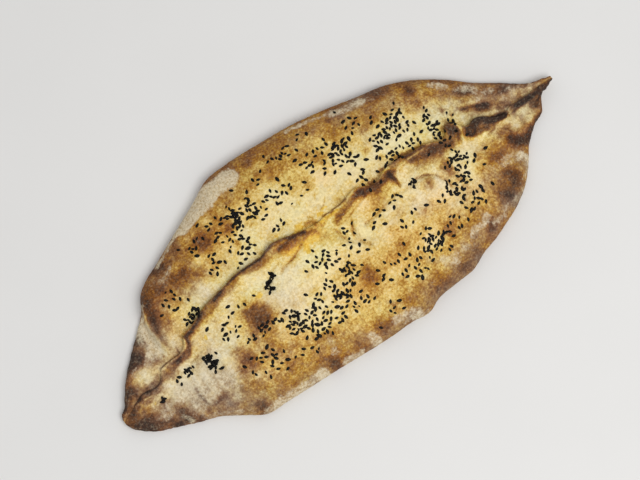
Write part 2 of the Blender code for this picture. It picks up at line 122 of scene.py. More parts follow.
# Heights above the table, in mm, as (x, height): of the two crowns, and of the outer edge at its widest.
NEAR_CROWN = (
    (-197, 3.6), (-192, 5.4), (-180, 7), (-160, 9), (-140, 12.5), (-115, 20), (-80, 26), (-30, 29),
    (30, 30), (75, 28), (110, 22), (140, 14.5), (160, 9.5), (180, 7.5), (190, 6.4), (196.5, 4),
)
FAR_CROWN = (
    (-197, 3.6), (-192, 5.4), (-180, 7), (-160, 8.5), (-144, 9.5), (-136, 16), (-115, 20.5), (-80, 25),
    (-30, 28), (30, 28), (75, 26), (110, 21), (140, 14.5), (160, 10), (180, 7.5), (190, 6.4), (196.5, 4),
)
EDGE_MIDDLE = ((-197, 2.2), (-150, 3), (-120, 5), (-60, 7), (60, 7), (120, 5), (155, 3), (196.5, 2.2))
# How far the lip stands above the groove behind it.
LIP_STEP = (
    (-197, 0.6), (-185, 1.5), (-172, 2.5), (-150, 3.5), (-140, 4.5), (-128, 5.5), (-60, 6.0), (-30, 6.0),
    (-12, 4.5), (3, 2.6), (15, 3.2), (32, 5.0), (50, 6.0), (100, 5.5), (116, 6.0), (130, 7.0), (145, 6.5),
    (154, 4.0), (159, 2.4), (165, 3.8), (180, 3.0), (190, 2.0), (196.5, 0.6),
)
# The tails curl off the table: from where, and how far the tips stand off it.
LEFT_CURL_FROM, LEFT_CURL = -160.0, 2.0
RIGHT_CURL_FROM, RIGHT_CURL = 150.0, 4.5
# How a flap's dome falls off towards its edge. A higher power gives a flatter top and a steeper side.
DOME_POWER = ((-197, 6.0), (-150, 4.5), (-110, 2.7), (0, 2.5), (110, 2.7), (150, 4.0), (196.5, 5.0))

# The lip's radius, and the most it may be as a share of its step and of the narrower flap's width.
LIP_RADIUS = 2.1
LIP_SHARE_OF_STEP, LIP_SHARE_OF_FLAP = 0.42, 0.3
# It is rounded to this many degrees above and below level. The far flap starts under it by this share of
# the radius.
LIP_TURN, LIP_OVERHANG = 75, 0.3
# The flap is rolled up along the lip: not at all where the step is the first of these, fully at the second.
LIP_ROLL_HEIGHT, LIP_ROLL_WIDTH = 2.6, 5.0
LIP_ROLL_STEPS = (0.5, 4.0)
# How wide the far flap's dip to the groove is.
VALLEY_WIDTH = 8.0
# The relief fades out towards each flap's outer edge, from this share of the way to it.
NEAR_RIM, FAR_RIM = 0.9, 0.88
# How far the outer edge turns under, as a share of the height at which it is widest.
CORNER_SHARE = 0.9

# The far flap ends in a rounded fold that stands above the left tail: the fold's line is a parabola in y.
POCKET_X, POCKET_Y, POCKET_BOW, POCKET_REACH = -145.2, 16.0, 9.0, 34.0
# Its height and how wide its rise is. Between these two x, the flap falls back to its own height.
POCKET_STEP, POCKET_RISE = 4.5, 2.4
POCKET_FADE = (-143, -110)

# How far in mm the end rings stay from the tips, and how strongly the rings crowd towards them.
TIP_INSET, TIP_CROWDING = 0.4, 16.0
# Shares of a ring's points on the near flap, on the far flap and underneath.
NEAR_POINTS, FAR_POINTS, UNDER_POINTS = 0.45, 0.40, 0.13
# Points round the lip and round each outer edge.
LIP_POINTS, SIDE_POINTS = 12, 7

# Raised blisters and hollows: (x, y, half length, half width, height).
BLISTERS = (
    (-75, -13, 13, 12, 2.0), (-102, -33, 8, 9, 1.2), (6, -36, 10, 8, 1.3), (38, -36, 9, 7, 0.8),
    (60, 35, 6, 5, 0.8), (116, 8, 5, 5, 2.2), (30, 10, 14, 4, 0.9), (57, 8, 8, 4, 1.6),
    (82, -14, 14, 7, 1.6), (48, 1, 14, 5, 1.0), (-50, 55, 15, 8, 1.3), (-78, 52, 9, 8, 1.5),
    (-105, 48, 11, 8, 1.6), (-128, 40, 7, 10, 1.5), (10, 65, 20, 8, 1.0), (75, 50, 16, 8, 1.0),
    (120, -45, 12, 10, 1.6), (150, -25, 9, 7, 1.8), (-164, 1, 9, 6, 1.2), (-163, 16, 8, 5, 1.4),
    (-156, -40, 6, 6, 1.6), (163, -17, 13, 5, -1.6), (-20, -20, 22, 14, -1.2), (-135, -22, 12, 14, -1.2),
    (14, -9, 5, 8, -2.2), (-58, 0, 12, 10, -1.2), (-27, 13, 9, 5, 1.8), (-58, 14, 14, 4, 0.8),
    (130, -10, 12, 4, -1.0), (72, 3, 8, 6, -1.0), (-5, 17, 5, 3.5, 1.2), (168, 9, 9, 5, 1.0),
    (-147, 20, 5, 16, -0.8),
)
# Creases and pinched pleats: ((x, y) ..., half width, height), drawn along straight runs between the points.
PLEATS = (
    (((-47, 7), (-52, 3), (-57, 0), (-54, -4)), 1.5, -1.8),
    (((-54, -4), (-53, -12), (-54, -26)), 3.5, -0.9),
    (((-42, 2.5), (-36, 4), (-31, 4.5), (-25, 6.2), (-19, 9)), 1.4, -1.4),
    (((-119, -5), (-121, -14), (-121, -30), (-116, -40)), 2.0, -1.2),
    (((-133, -9), (-126, -8.5)), 1.2, -0.6),
    (((-147, -18), (-147, -34), (-143, -46)), 4.0, -1.2),
    (((7, 3), (8, -4), (11, -10), (14, -11), (17, -14), (20, -20)), 2.2, -2.0),
    (((19, 0), (16, -5), (15, -9)), 1.3, -1.6),
    (((26, -7), (36, -6.8), (44, -5.6), (56, -3.6), (64, -4.6), (70, -4)), 1.4, -1.3),
    (((70, -4), (76, -3.8), (82, -6), (88, -11), (92, -18), (93, -25)), 1.8, -1.6),
    (((62, 12), (62.5, 6), (63.3, 0)), 1.6, -1.6),
    (((60, 14.5), (66, 10.5), (71, 9.8), (79, 10.4)), 1.3, 1.4),
    (((104, 0), (112, -4), (119, -6)), 1.8, -1.0),
    (((123, 6), (121.5, 1), (119, -5)), 1.6, 1.8),
    (((133, 13), (138, 11), (143, 8.5), (150, 5)), 2.6, 2.4),
    (((128, 7), (136, 8.5), (144, 4.5), (152, 1)), 2.4, -1.2),
    (((153, -1), (161, -0.5)), 2.2, 1.8),
    (((157, -3.5), (157.5, -9)), 1.8, 2.2),
    (((165, 1), (172, 2), (178, 4)), 2.0, 1.0),
    (((130, -6), (140, -7.5), (152, -9.5), (166, -10), (182, -10.5)), 2.4, 1.4),
    (((137, -11), (144, -9.8)), 1.2, -1.0),
    (((146, -13), (151, -18), (156, -23), (172, -21.5)), 1.8, 1.2),
    (((-150, -9), (-165, -12), (-180, -14)), 4.0, 1.6),
    (((-172, -21), (-188, -22)), 2.5, 1.0),
    (((-170, -28), (-183, -29)), 2.2, -0.8),
    (((-175, 10), (-184, 5)), 2.4, 1.4),
    (((-164, -36), (-158, -46)), 1.8, 0.8),
    (((-136, 7), (-137, 1)), 1.4, -1.4),
)

# Finer creases, which only the surface holds: ((x, y) ..., half width, height, how dark they are).
# Below 0 it is a painted highlight along a lit ridge.
# Their darkness is partly browning and partly painted shade in the creases and under the lip.
CREASES = (
    # The far flap's rounded left fold, with a painted highlight on its crest and painted shade in front of
    # it.
    (((-139, 43), (-143.5, 34), (-146.8, 23), (-147.6, 13), (-146.4, 6), (-143, 1)), 1.1, -1.2, 0.08),
    (((-137, 43), (-141.5, 34), (-144.6, 23), (-145.4, 13), (-144.2, 6)), 1.2, 0.8, -0.30),
    # Left tail.
    (
        ((-184, -9), (-180, -8), (-176, -6.2), (-171, -7), (-166, -8.6), (-160, -8.2), (-157, -5)),
        0.9, -0.9, 0.28,
    ),
    (((-178, -9.8), (-171, -11.4)), 0.9, 0.8, -0.15),
    (((-180, -12.6), (-174, -14), (-166, -13)), 1.4, -0.7, 0.10),
    (((-176, -2), (-170, -4.6), (-163, -4.4), (-157, -1)), 1.3, -0.5, 0.14),
    (((-154, 1), (-145, 1), (-136, 0.4)), 0.8, -0.8, 0.26),
    (((-135.5, 6), (-136, 1.5)), 0.7, -0.8, 0.30),
    (((-150, -14), (-150, -22)), 1.2, -0.5, 0.10),
    (((-147, -19), (-148, -32), (-144, -46)), 2.4, -0.6, 0.10),
    (((-142, -26), (-143, -34), (-142, -40)), 0.8, -0.5, 0.14),
    (((-139, -20), (-138, -34), (-141, -46)), 1.3, 0.5, -0.04),
    (((-129, -20), (-130, -32), (-128, -40)), 1.2, -0.5, 0.08),
    (((-123, -24), (-124, -32), (-123, -40)), 1.0, -0.7, 0.14),
    (((-119, -26), (-118.5, -34), (-120, -42)), 1.0, -0.6, 0.12),
    (((-114, -28), (-113, -38), (-115, -48)), 1.3, 0.5, -0.06),
    (((-133, -9), (-126, -8.6)), 0.7, -0.5, 0.22),
    (((-126, -4.5), (-120, -4)), 0.6, -0.3, 0.12),
    # The lip, from left to right. Its dark edge is partly burnt crust and partly painted shadow under the
    # lip.
    (((-145, -1.6), (-137, -2), (-131, -0.4)), 1.0, -0.5, 0.22),
    (((-125.7, 8.4), (-126, 3)), 0.8, -1.0, 0.40),
    (((-125, 8), (-119, 8.2), (-112, 10.6), (-106, 14)), 1.5, -0.5, 0.42),
    (((-93, 15.4), (-86, 17.2), (-78, 18.6)), 1.0, -0.4, 0.34),
    (((-106, 7.4), (-101, 3.4)), 0.8, -0.4, 0.16),
    (((-122, 12), (-127, 9), (-131, 5)), 1.6, 0.6, 0.10),
    (((-74, 19.6), (-66, 20.2), (-58, 19.4), (-49, 18.6)), 1.1, -0.3, 0.28),
    (
        ((-49, 18.6), (-45, 19.4), (-41, 21), (-36, 22.2), (-31, 21.2), (-25, 19.5), (-19, 17.6),
         (-12, 15.4)),
        1.4, -0.4, 0.52,
    ),
    (((-43, 19), (-38, 20), (-35, 18.5)), 1.1, 0.6, -0.12),
    (((-34, 16.5), (-28, 16), (-24, 17.5), (-20, 16)), 1.6, -0.5, 0.34),
    (((-16, 15), (-10, 13), (-6, 11)), 1.3, -0.5, 0.22),
    (((-8, 19), (-4, 18), (-1, 15)), 1.8, 0.5, 0.34),
    (((-48, 7.2), (-44, 7.8), (-40, 8.6)), 0.7, -0.5, 0.20),
    (((-42, 2.6), (-36, 4), (-31, 4.6), (-25, 6.4), (-19, 9)), 0.8, -0.7, 0.34),
    (((-68, 10), (-63, 8.5), (-60, 7)), 0.8, -0.4, 0.10),
    (((-76, 7), (-71, 8.5), (-66, 9.5)), 0.8, -0.4, 0.08),
    (((6, 15.8), (12, 14.6), (20, 14.8), (26, 15.6)), 0.8, -0.6, 0.40),
    # Painted shadow in the groove just above the lip, with no height of its own.
    (((14, 17), (26, 18), (38, 19), (50, 18)), 2.4, 0.0, 0.12),
    (((56, 18), (70, 16.5), (84, 15), (98, 11.5), (108, 8)), 2.6, 0.0, 0.12),
    (((9, 12.2), (14, 12.8), (18, 12)), 1.0, 0.4, 0.12),
    (((10, 4), (18, 3.4), (25, 6), (31, 7.6), (38, 8.6)), 1.0, -1.1, 0.20),
    (((7, 20.4), (11.5, 22), (14.5, 25.5)), 0.7, -0.3, 0.24),
    (((-3, 27), (-3.5, 23), (-1, 20)), 0.8, -0.3, 0.16),
    (((58, 15), (62, 14.6), (66, 11.5), (70, 10)), 0.8, 0.9, -0.26),
    (((56, 17.4), (62, 17.2), (68, 15), (78, 13.6)), 0.9, -0.5, 0.30),
    (((70, 10), (78, 10.6), (86, 10)), 0.9, 0.5, -0.14),
    (((78, 13.6), (88, 12), (96, 9.6)), 0.8, -0.4, 0.24),
    (((62, 12), (62.4, 6), (63.3, 0)), 1.3, -0.9, 0.28),
    (((64.6, -1), (64.8, 3.5), (67.5, 7.5)), 0.8, 0.9, -0.24),
    (((30, 5), (35, 7), (37, 5)), 1.0, 0.6, -0.06),
    (((26, -7), (36, -6.8), (44, -5.6), (56, -3.4)), 0.8, -0.7, 0.22),
    (((56, -3.4), (64, -4.8), (70, -3.6)), 0.8, -0.6, 0.16),
    (((76, -3.8), (82, -5.6), (88, -10.5), (91.5, -17), (92.5, -24)), 0.9, -1.2, 0.42),
    (((79, 10.4), (88, 9.8), (99, 10)), 0.7, 0.4, -0.30),
    (((7, 2), (8, -4), (10, -9)), 1.2, -1.0, 0.26),
    (((16, -13), (18, -17), (21, -21)), 1.2, -1.0, 0.24),
    (((20, 0.5), (17, -4), (15.5, -8)), 0.9, -0.9, 0.34),
    # The knob and the fold beside it: a painted highlight on the fold's crest and painted shade beside it.
    (((111.5, 4), (112, 9), (114.5, 12.8)), 1.0, 0.5, -0.12),
    (((121.4, 10), (122.8, 6), (121.4, 1), (119, -4.4)), 0.9, 1.2, -0.34),
    (((120, 9), (120.5, 4), (118, 0)), 1.0, -0.8, 0.24),
    (((126, 4), (127.5, 0), (126, -4)), 1.2, -0.4, 0.20),
    # The deep seam of the right tail, darkened with painted shade, with painted highlights on its lit
    # ridges.
    (((131, 2.6), (136, 3.6), (141, 2.4), (146, -1.6), (152, -5.4), (157, -6.8)), 1.5, -1.8, 0.32),
    (((142, -2.4), (148, -5), (156, -7)), 1.6, -1.0, 0.16),
    (((168, -6.2), (173, -7.2), (179, -8)), 1.2, -1.4, 0.30),
    (((126, -5.6), (134, -9), (142, -9.4), (150, -9.6), (157, -9.6)), 0.9, 0.6, -0.10),
    (((138, -10.8), (144, -9.8)), 0.7, -0.8, 0.24),
    (((158, -9.6), (168, -9), (178, -10)), 0.9, -0.3, 0.18),
    (((156.6, -4), (157.4, -8.4)), 1.2, 0.6, -0.26),
    (((132, 15.2), (138, 13.8), (143.5, 11.4), (150, 8)), 1.0, -0.6, 0.10),
    (((152, -1.6), (156, -2.6), (162, -2)), 0.9, -0.5, 0.16),
    (((124, 17), (131, 18)), 0.8, -0.5, 0.18),
    (((152, 3.5), (157, 1.5), (164, -1.5)), 1.2, 0.7, -0.12),
    (((147, -13), (151, -18.5), (155, -23)), 0.8, 0.5, 0.08),
    (((150, -14), (157, -17), (168, -17.5)), 1.2, -0.5, 0.06),
    (((176, -12), (182, -13), (186, -12)), 1.2, -0.5, 0.24),
)

# Wrinkles run out of each tip: (x, y, how far). A radian round the tip has as many as this many mm of noise.
TIP_WRINKLES = ((-198.0, -16.0, 45.0), (198.0, -7.0, 40.0))
TIP_WRINKLE_FAN = 24
# They also run across the dough that was stretched at the left end, (x, y, half length, half width), and are
# this many times as long as wide.
STRETCHED = (-133.0, -32.0, 20.0, 24.0)
STRETCH_WRINKLE_DRAW = 6
# How much the wrinkles raise the crust, pale it and hold flour.
WRINKLE_HEIGHT, WRINKLE_PALING, WRINKLE_FLOUR = 0.5, 0.15, 0.30

# Small bubbles: their radii, their heights as shares of the radius, and how far from the outline they stay.
BUBBLE_SEED = 5
BUBBLE_RADII, BUBBLE_RISES = (1.4, 4.2), (0.06, 0.16)
BUBBLE_MARGIN = 2

# What noise makes uneven: its middle value, then (size in mm, pattern, amount) for each layer of noise.
UNEVEN = {
    "relief": (0, (38, 2.3, 1.3), (19, 0.3, 0.8), (7, 5.1, 0.30), (3.2, 8.7, 0.14)),
    "near edge": (0, (2.6, 1.7, 1)),
    "far edge": (0, (2.9, 6.2, 1)),
    "tip wrinkles": (0, (3.2, 6.6, 1)),
    "stretch wrinkles": (0, (3.4, 7.4, 1)),
    "fray along": (0, (9, 3.1, 0.5), (3.5, 5.3, 0.8)),
    "fray across": (0, (9, 7.9, 0.5), (3.5, 9.7, 0.8)),
    "share": (0, (22, 3.9, 0.08)),
    "band middle": (0, (7, 1.9, 0.8)),
    "band": (0.95, (6, 1.1, 0.3)),
    "patches": (0.9, (5, 7.7, 0.35)),
    "folds": (0.95, (4, 5.7, 0.3)),
    "baked": (0, (12, 9.1, 0.10)),
    "baked underneath": (0.46, (16, 4.4, 0.16), (5, 6.4, 0.08)),
    "flour": (0, (9, 2.8, 0.10)),
    "flour underneath": (0.45, (20, 8.2, 0.4)),
    "dry": (0, (11, 3.3, 0.18), (4, 6.9, 0.16)),
    "ruddy": (0.5, (14, 5.9, 0.3)),
}
# How far in mm the drawn creases, browned places, browned folds, flour and dry places fray.
CREASE_FRAY, PATCH_FRAY, FOLD_FRAY, FLOUR_FRAY, DRY_FRAY = 0.5, 1.7, 0.6, 1.8, 3.0

# Sprinkled pinches of seed: (x, y, spread along x, spread along y, count).
PINCHES = (
    (-118, 31, 8, 7, 13), (-112.5, 15.5, 4.5, 3.2, 18), (-78, 55, 8, 4, 9), (-78, 38, 6, 5, 9),
    (-58, 60, 5, 4, 8), (-60, 44, 4, 7, 10), (-45, 54, 4, 5, 17), (-48, 40, 4, 6, 13), (-56, 28, 9, 4, 10),
    (-32, 52, 8, 5, 18), (-18, 62, 14, 6, 7), (-15, 47, 9, 5, 13), (0, 46, 6, 8, 8), (-22, 30, 6, 3, 5),
    (15, 70, 17, 5, 16), (28, 53, 8, 5, 13), (33, 44, 7, 3, 11), (46, 44, 6, 7, 28), (48, 22, 4, 7, 12),
    (66, 53, 9, 3, 10), (73, 35, 5, 5, 18), (86, 36, 6, 8, 26), (94, 44, 4, 4, 7), (70, 19, 11, 4, 16),
    (93, 22, 7, 5, 10), (109, 19, 4, 8, 22), (123, 16, 4, 4, 6), (113, 2, 10, 4, 9), (-165, -19, 2, 1, 3),
    (-149, -14, 2, 2, 3), (-139, -13, 4, 2, 9), (-121, -18, 3, 6, 26), (-98, -6, 7, 6, 14),
    (-82, 1, 7, 2, 4), (-49, 5, 1.5, 1.5, 8), (-53, 2.5, 1.5, 1, 6), (-57, -0.5, 1, 1.5, 5),
    (-54.5, -3, 1.2, 1, 5), (-73, -22, 10, 3, 17), (-53, -27, 2, 3, 8), (-57, -36, 5, 5, 18),
    (-44, -40, 8, 8, 28), (-87, -40, 12, 9, 22), (-68, -54, 12, 5, 8), (-18, -8, 6, 4, 12),
    (-7, -13, 7, 4, 11), (-27, -25, 7, 5, 11), (-2, -27, 4, 4, 15), (-17, -36, 6, 5, 24),
    (-15, -49, 12, 4, 15), (-38, -53, 8, 3, 6), (2, -68, 10, 4, 7), (14, -8, 5, 6, 10), (36, -9, 4, 3, 6),
    (54, -7, 7, 3, 7), (72, -5, 2, 2, 9), (52, -25, 16, 4, 8), (22, -43, 12, 4, 13), (36, -57, 7, 5, 15),
    (58, -48, 7, 7, 32), (76, -48, 8, 6, 11), (92, -27, 5, 5, 18), (103, -22, 4, 5, 14),
    (108, -10, 6, 4, 20), (100, -42, 8, 4, 13), (8, -22, 6, 6, 5), (112, -32, 12, 12, 7),
)
SPRINKLE_SEED = 17
# How far from a pinch's middle its seeds fall, for a spread of 1, and how much their sizes differ.
PINCH_SCATTER, SEED_SIZE_SPREAD = 0.75, 0.14
# How far apart seeds lie, or in a tight pinch this many times its spacing, and how often a place is tried.
SEED_CLEARANCE, PILE_ROOM, TRIES_PER_SEED = 2.3, 1.5, 12
# A seed lies on those nearer than this in mm, but not on more than this many layers.
SEED_TOUCH, PILE_LAYERS = 1.7, 2
# How much a seed narrows over its length towards its point, and the height in mm that it drops from.
SEED_TAPER, DROP_HEIGHT = 0.8, 100

# How baked the crust is before anything else is counted.
PALE = 0.10
# A flap browns towards its outer edge: (from this share of the way, to this share, amount).
NEAR_BROWNING = ((0.36, 0.62, 0.27), (0.74, 1, 0.13))
FAR_BROWNING = ((0.42, 0.68, 0.27), (0.74, 1, 0.20))
# The far flap is browner at its left, growing between these x and between these shares of the way.
LEFT_BROWNING, LEFT_BROWNING_X, LEFT_BROWNING_SHARE = 0.12, (-45, -85), (0.15, 0.4)
# The tips are browner, growing between these distances from x = 0.
TIP_BROWNING, TIP_BROWNING_X = 0.16, (150, 195)
# How much browner bubbles are, how far in mm the lip's band reaches past the lip, and how far round the
# outer edge the underside's browning begins.
BUBBLE_BROWNING, BAND_OVERLAP, BROWN_UNDER_FROM = 0.32, 0.5, 0.2
# Where the oven browned the crust more, or less below 0, and beside the seam also painted shade:
# (x, y, half length, half width, amount).
BROWNED_AND_SHADE = (
    # Left tail.
    (-191, -16, 8, 12, 0.40), (-184, -20, 7, 7, 0.14), (-186, -27, 8, 5, 0.34), (-176, -33, 14, 4, 0.26),
    (-167, -40, 7, 3, 0.36), (-165.5, 16, 7, 5, 0.80), (-154, 26, 5, 3.5, 0.42), (-180, -1.5, 5.5, 4, 0.50),
    (-190, -8, 5, 4, 0.20), (-167, -6.5, 10, 3, 0.30), (-167, 5, 8, 4.5, -0.36), (-150, -6, 6, 4, 0.20),
    (-168, -15, 8, 2.5, -0.10), (-167, 8, 7, 3, -0.06),
    # Far flap, left of the middle.
    (-134, 43, 4.5, 6, 0.40), (-135, 32, 4, 8, 0.34), (-139, 26, 3.5, 6.5, 0.30), (-128, 24, 6, 9, 0.30),
    (-112, 57, 8, 4, 0.26), (-101, 45, 7, 4, 0.36), (-118, 42, 9, 6, 0.20), (-84, 67, 22, 7, -0.15),
    (-88, 36, 8, 5, 0.18), (-104, 38, 7, 5, 0.14), (-105, 29, 2, 4, 0.22), (-132, 7, 3, 4, 0.04),
    (-113, 14, 9, 3, 0.08), (-73, 51, 7, 7, 0.50), (-74, 32, 8, 6, 0.26), (-53, 51, 6.5, 5, 0.48),
    (-54, 38, 2.5, 2.5, 0.45), (-38, 45, 6, 5, 0.18), (-45, 43, 6, 9, -0.16), (-13, 49, 6, 5, -0.15),
    (-4, 32, 20, 6, -0.18), (-14, 39, 7, 11, -0.13), (-14, 81, 12, 3, 0.05), (-28, 62, 12, 5, 0.06),
    # Far flap, right of the middle.
    (1, 43, 5, 4, 0.26), (13, 43, 4, 5, 0.20), (28, 51, 5, 5, 0.34), (34, 62, 8, 6, -0.12),
    (34, 31, 22, 8, -0.16), (45, 43, 7, 7, -0.36), (70, 27, 12, 7, -0.28), (60, 34, 4, 4.5, 0.38),
    (49, 48, 6, 5, 0.14), (69, 47, 9, 5, 0.24), (86, 64, 8, 4, 0.14), (106, 54, 7, 5, 0.04),
    (84, 57, 10, 4, 0.10), (96, 60, 13, 4, 0.22), (112, 49, 6, 5, 0.42), (95, 41, 7, 5, -0.20),
    (120.5, 23, 1.6, 2, 0.34), (116, 26, 14, 5, 0.09), (124, 34, 8, 6, 0.14), (142, 26, 5, 5, 0.42),
    (162, 7, 12, 7, 0.22), (166, 9, 7, 4, 0.20), (146, 15, 6, 3, 0.10),
    # Near flap, left of the middle.
    (-134, -43, 8, 2.5, 0.26), (-126, -46, 4, 3, 0.16), (-112, -65, 5, 4.5, 0.42),
    (-98.5, -32, 5.5, 6.5, 0.52), (-108, -38, 6, 4, -0.20), (-122, -58, 4, 5, 0.10),
    (-132, -52, 4, 5, 0.10), (-74, -10, 10, 11, 0.42), (-79, -8, 5, 4, 0.28), (-78, -20, 9, 6, 0.30),
    (-86, -20, 5, 5, 0.12), (-65, -28, 6, 8, -0.24), (-68, -17, 5, 5, 0.25), (-90, -46, 8, 4, -0.16),
    (-53, -73, 5, 5, 0.46), (-42, -70, 6, 5, -0.10), (-31, -76, 5, 5, 0.20), (-9, -77, 5, 5, 0.20),
    (-35, -35, 20, 13, -0.32), (-48, -41, 12, 7, -0.20), (-15, -15, 8, 7, -0.42), (-32, -22, 5, 4, 0.24),
    (-15, -48, 7, 8, -0.36),
    # Near flap, right of the middle.
    (-3, -24, 6, 4, 0.22), (7, -37, 6, 9, 0.46), (25, -9, 6, 5, -0.12), (38, -36, 5, 4, 0.16),
    (20, -49, 12, 6, -0.36), (60, -45, 12, 7, -0.28), (62, -24, 12, 8, 0.08), (-12, -60, 13, 6, -0.16),
    (12, -60, 12, 5, -0.14), (18, -69, 10, 4, 0.08), (35, -59, 8, 7, -0.18), (52, -43, 16, 7, -0.14),
    (56, -64, 10, 8, -0.12), (80, -13, 4.5, 4, 0.46), (97.5, -12.5, 4.5, 8, 0.54), (106, -22, 7, 16, -0.24),
    (37, -74, 6, 4, 0.30), (66, -76, 9, 4, 0.24), (76, -72, 5, 4, 0.14), (95, -66, 5, 3, 0.14),
    (100, -62, 6, 6, 0.28), (72, -45, 7, 5, 0.18), (132, -43.5, 6, 5.5, 0.48), (131, -51, 5, 3.5, 0.24),
    (87, -27, 7, 12, -0.30), (101, -41, 8, 5, -0.08), (146, -40, 5, 4, 0.10), (121, -52, 7, 5, 0.54),
    (118, -20, 6, 5, 0.08), (134, -28, 9, 5, 0.20), (150, -27, 6, 6, 0.16), (155, -31, 6, 5, 0.24),
    (162, -30, 8, 3, 0.20),
    # Right tail.
    (180, -13, 4, 2.5, 0.30), (188, -7, 10, 4, 0.36), (113, -11, 8, 4, -0.10), (136, 7, 8, 2.5, -0.06),
    (158, 8, 26, 12, 0.18), (150, -18, 3, 3, 0.10), (117, 9, 4, 4.5, 0.62), (116, -0.5, 8, 3.2, 0.30),
    (104, 3, 8, 4, 0.14), (126, 0.5, 3.5, 4.5, 0.40),
    # Along the seam.
    (16, 7.8, 4, 2, 0.22), (34, 11, 5, 2, 0.10), (47, 3.4, 11, 3.6, 0.28), (40, -3, 8, 3, 0.10),
    (82, 3, 8, 4, 0.24), (94, 1, 12, 4, 0.22), (-58, 14.5, 10, 2.5, 0.08), (2, 1, 4, 4, 0.10),
    (-68, 8, 14, 4, -0.20), (-34, -4, 22, 7, -0.18), (66, -10, 7, 9, -0.24),
    # Smaller places all over the crust.
    (51, -16, 8, 4, 0.18), (6, -5, 4, 6, 0.12), (118, 12, 7, 5, 0.28), (-86, 47, 6, 5, -0.20),
    (-75, -16, 7, 5, 0.22), (-102, -61, 12, 6, -0.10), (42, -79, 16, 4, 0.09), (145, 22, 6, 4, 0.10),
    (15, 27, 20, 7, -0.05), (-135, -28, 16, 14, -0.12), (-55, 77, 22, 5, -0.12), (2, 30, 2.5, 2, 0.26),
    (10, 31.5, 3, 2.2, 0.26), (-2, 34, 2, 1.5, 0.18), (21, 33, 2.5, 2, 0.16), (26, 24, 3, 2, 0.10),
    (131, -2, 5, 4, 0.16), (163, -18, 10, 2.5, -0.10), (-30, -33, 8, 5, -0.24), (-36, -48, 6, 4, -0.16),
    (26, -11, 5, 7, -0.15), (86, -11, 5, 5, -0.14), (-12, 72, 9, 4, -0.14), (-60, 64, 10, 4, -0.13),
    (5, 57, 13, 4, -0.05), (-126, 0, 4, 3, 0.22), (-5, -80, 7, 3, -0.14), (-118, -48, 5, 4, -0.10),
    (-4, 6, 5, 5, -0.12), (-80, -72, 12, 3, -0.10), (161, -1.5, 4, 3, 0.20), (148, -14.5, 6, 3.5, 0.36),
    (140, -31, 6, 3, -0.15), (137, -45, 4, 4, 0.08), (146, -20, 4, 2.5, -0.10), (-150, 5, 7, 4.5, 0.34),
    (-155, 11, 4, 3, 0.18), (-180, -8, 3, 3, 0.26), (-160, -12, 7, 2.5, -0.20), (-169, -12, 5, 2.5, 0.14),
    (-164, -22, 8, 5, 0.26), (166, -20, 6, 2.5, -0.20), (125, 16, 6, 2.5, 0.10), (-143.5, 31, 2, 5, -0.20),
    (-151, -31, 4, 5, -0.20), (-177, -19, 5, 4, 0.18), (152.5, -20.5, 4, 3, 0.32), (165, -13, 8, 4, 0.09),
    (145, -23, 4, 4, -0.10), (171, -1, 5, 3, 0.14), (136, 18, 5, 4, 0.16), (150, 11, 4, 2.5, 0.18),
    (158, -8, 3, 2, -0.20), (-99, 51, 6, 3, -0.14), (-78, 62, 16, 3, -0.12), (-12, 76, 5, 3, -0.14),
    (-21, 65, 4, 4, 0.12), (8, 49, 7, 4, 0.18), (52, 62, 6, 4, 0.12), (65, -70, 6, 4, 0.14),
    (-1, -66, 6, 7, -0.14), (-106, -49, 7, 5, 0.14), (-76, -27, 6, 3.5, 0.18), (-76, -69, 7, 4, -0.12),
    (139, -5, 7, 3, 0.16), (132, -24, 12, 6, 0.08), (114, 38, 13, 5, 0.11), (77, 49, 10, 6, 0.11),
    (53, 66, 10, 4, 0.09), (-101, 41, 7, 4, 0.10), (-64, 41, 4, 4, 0.09), (-34, 17, 4, 2.5, 0.10),
    (5, 0, 5, 4, 0.12), (-65, 0.5, 4, 3.5, 0.11), (56, -48, 5, 4, -0.14), (-112, -41, 8, 5, -0.09),
    (16, -81, 5, 3, 0.09), (16, -56, 5, 4, 0.08), (98, -16, 4, 5, 0.10), (116, -17, 4, 4, -0.07),
    (38, -24, 4, 3, 0.09), (-50, -40, 8, 6, -0.08), (-35, -43, 6, 8, -0.06), (126, -48, 4, 4, 0.10),
    (119, -58, 8, 4, 0.08), (105, 38, 5, 5, 0.12), (125, 20, 8, 4, 0.12), (117, 17, 3, 4, 0.14),
    (135, 27, 5, 4, 0.12), (148, 24, 4, 4, 0.18), (151, 16, 5, 4, 0.10), (147, -17, 4, 3, 0.16),
    (133, 43, 5, 4, 0.14), (-184, -28, 6, 4, 0.08), (160, -20, 4, 2.5, -0.26), (154, -8.5, 4, 2, -0.16),
    (172, -19.5, 3, 2, -0.12), (154, -15, 3, 2, 0.14), (-120, 45, 4, 3, 0.18), (-109, 37, 4, 5, 0.20),
    (-98, 39, 5, 3, 0.16), (-100, 31, 3, 3, 0.20), (-90, 36, 3, 4, 0.18), (-151, -11, 3, 3, 0.20),
    (-149, -38, 4, 3, 0.16), (-112, -50, 7, 3, -0.16), (-103, -32, 3, 3, 0.14), (-102, -57, 4, 4, 0.12),
    (-100, -45, 3, 3, -0.16), (-122, 20, 4, 3, 0.14), (-121, 56, 5, 3, -0.14), (57, 7, 5, 3, 0.22),
    (61, 5, 2.5, 3, 0.20), (50, -1, 10, 3, 0.10), (82, 11.5, 4, 4, 0.16), (66.5, 2, 2, 2, -0.14),
    (61, 12.5, 4, 1.8, 0.16), (97, -12, 5, 5, 0.12), (-68, -9, 4, 8, 0.16), (-79, -9, 3, 4, 0.18),
    (-58, 11, 6, 2.5, 0.08), (-24, 14, 5, 3, 0.12), (136, -8, 3, 2.5, 0.16), (142, -38, 3, 4, 0.12),
    (136, 9, 3, 3, 0.16),
)
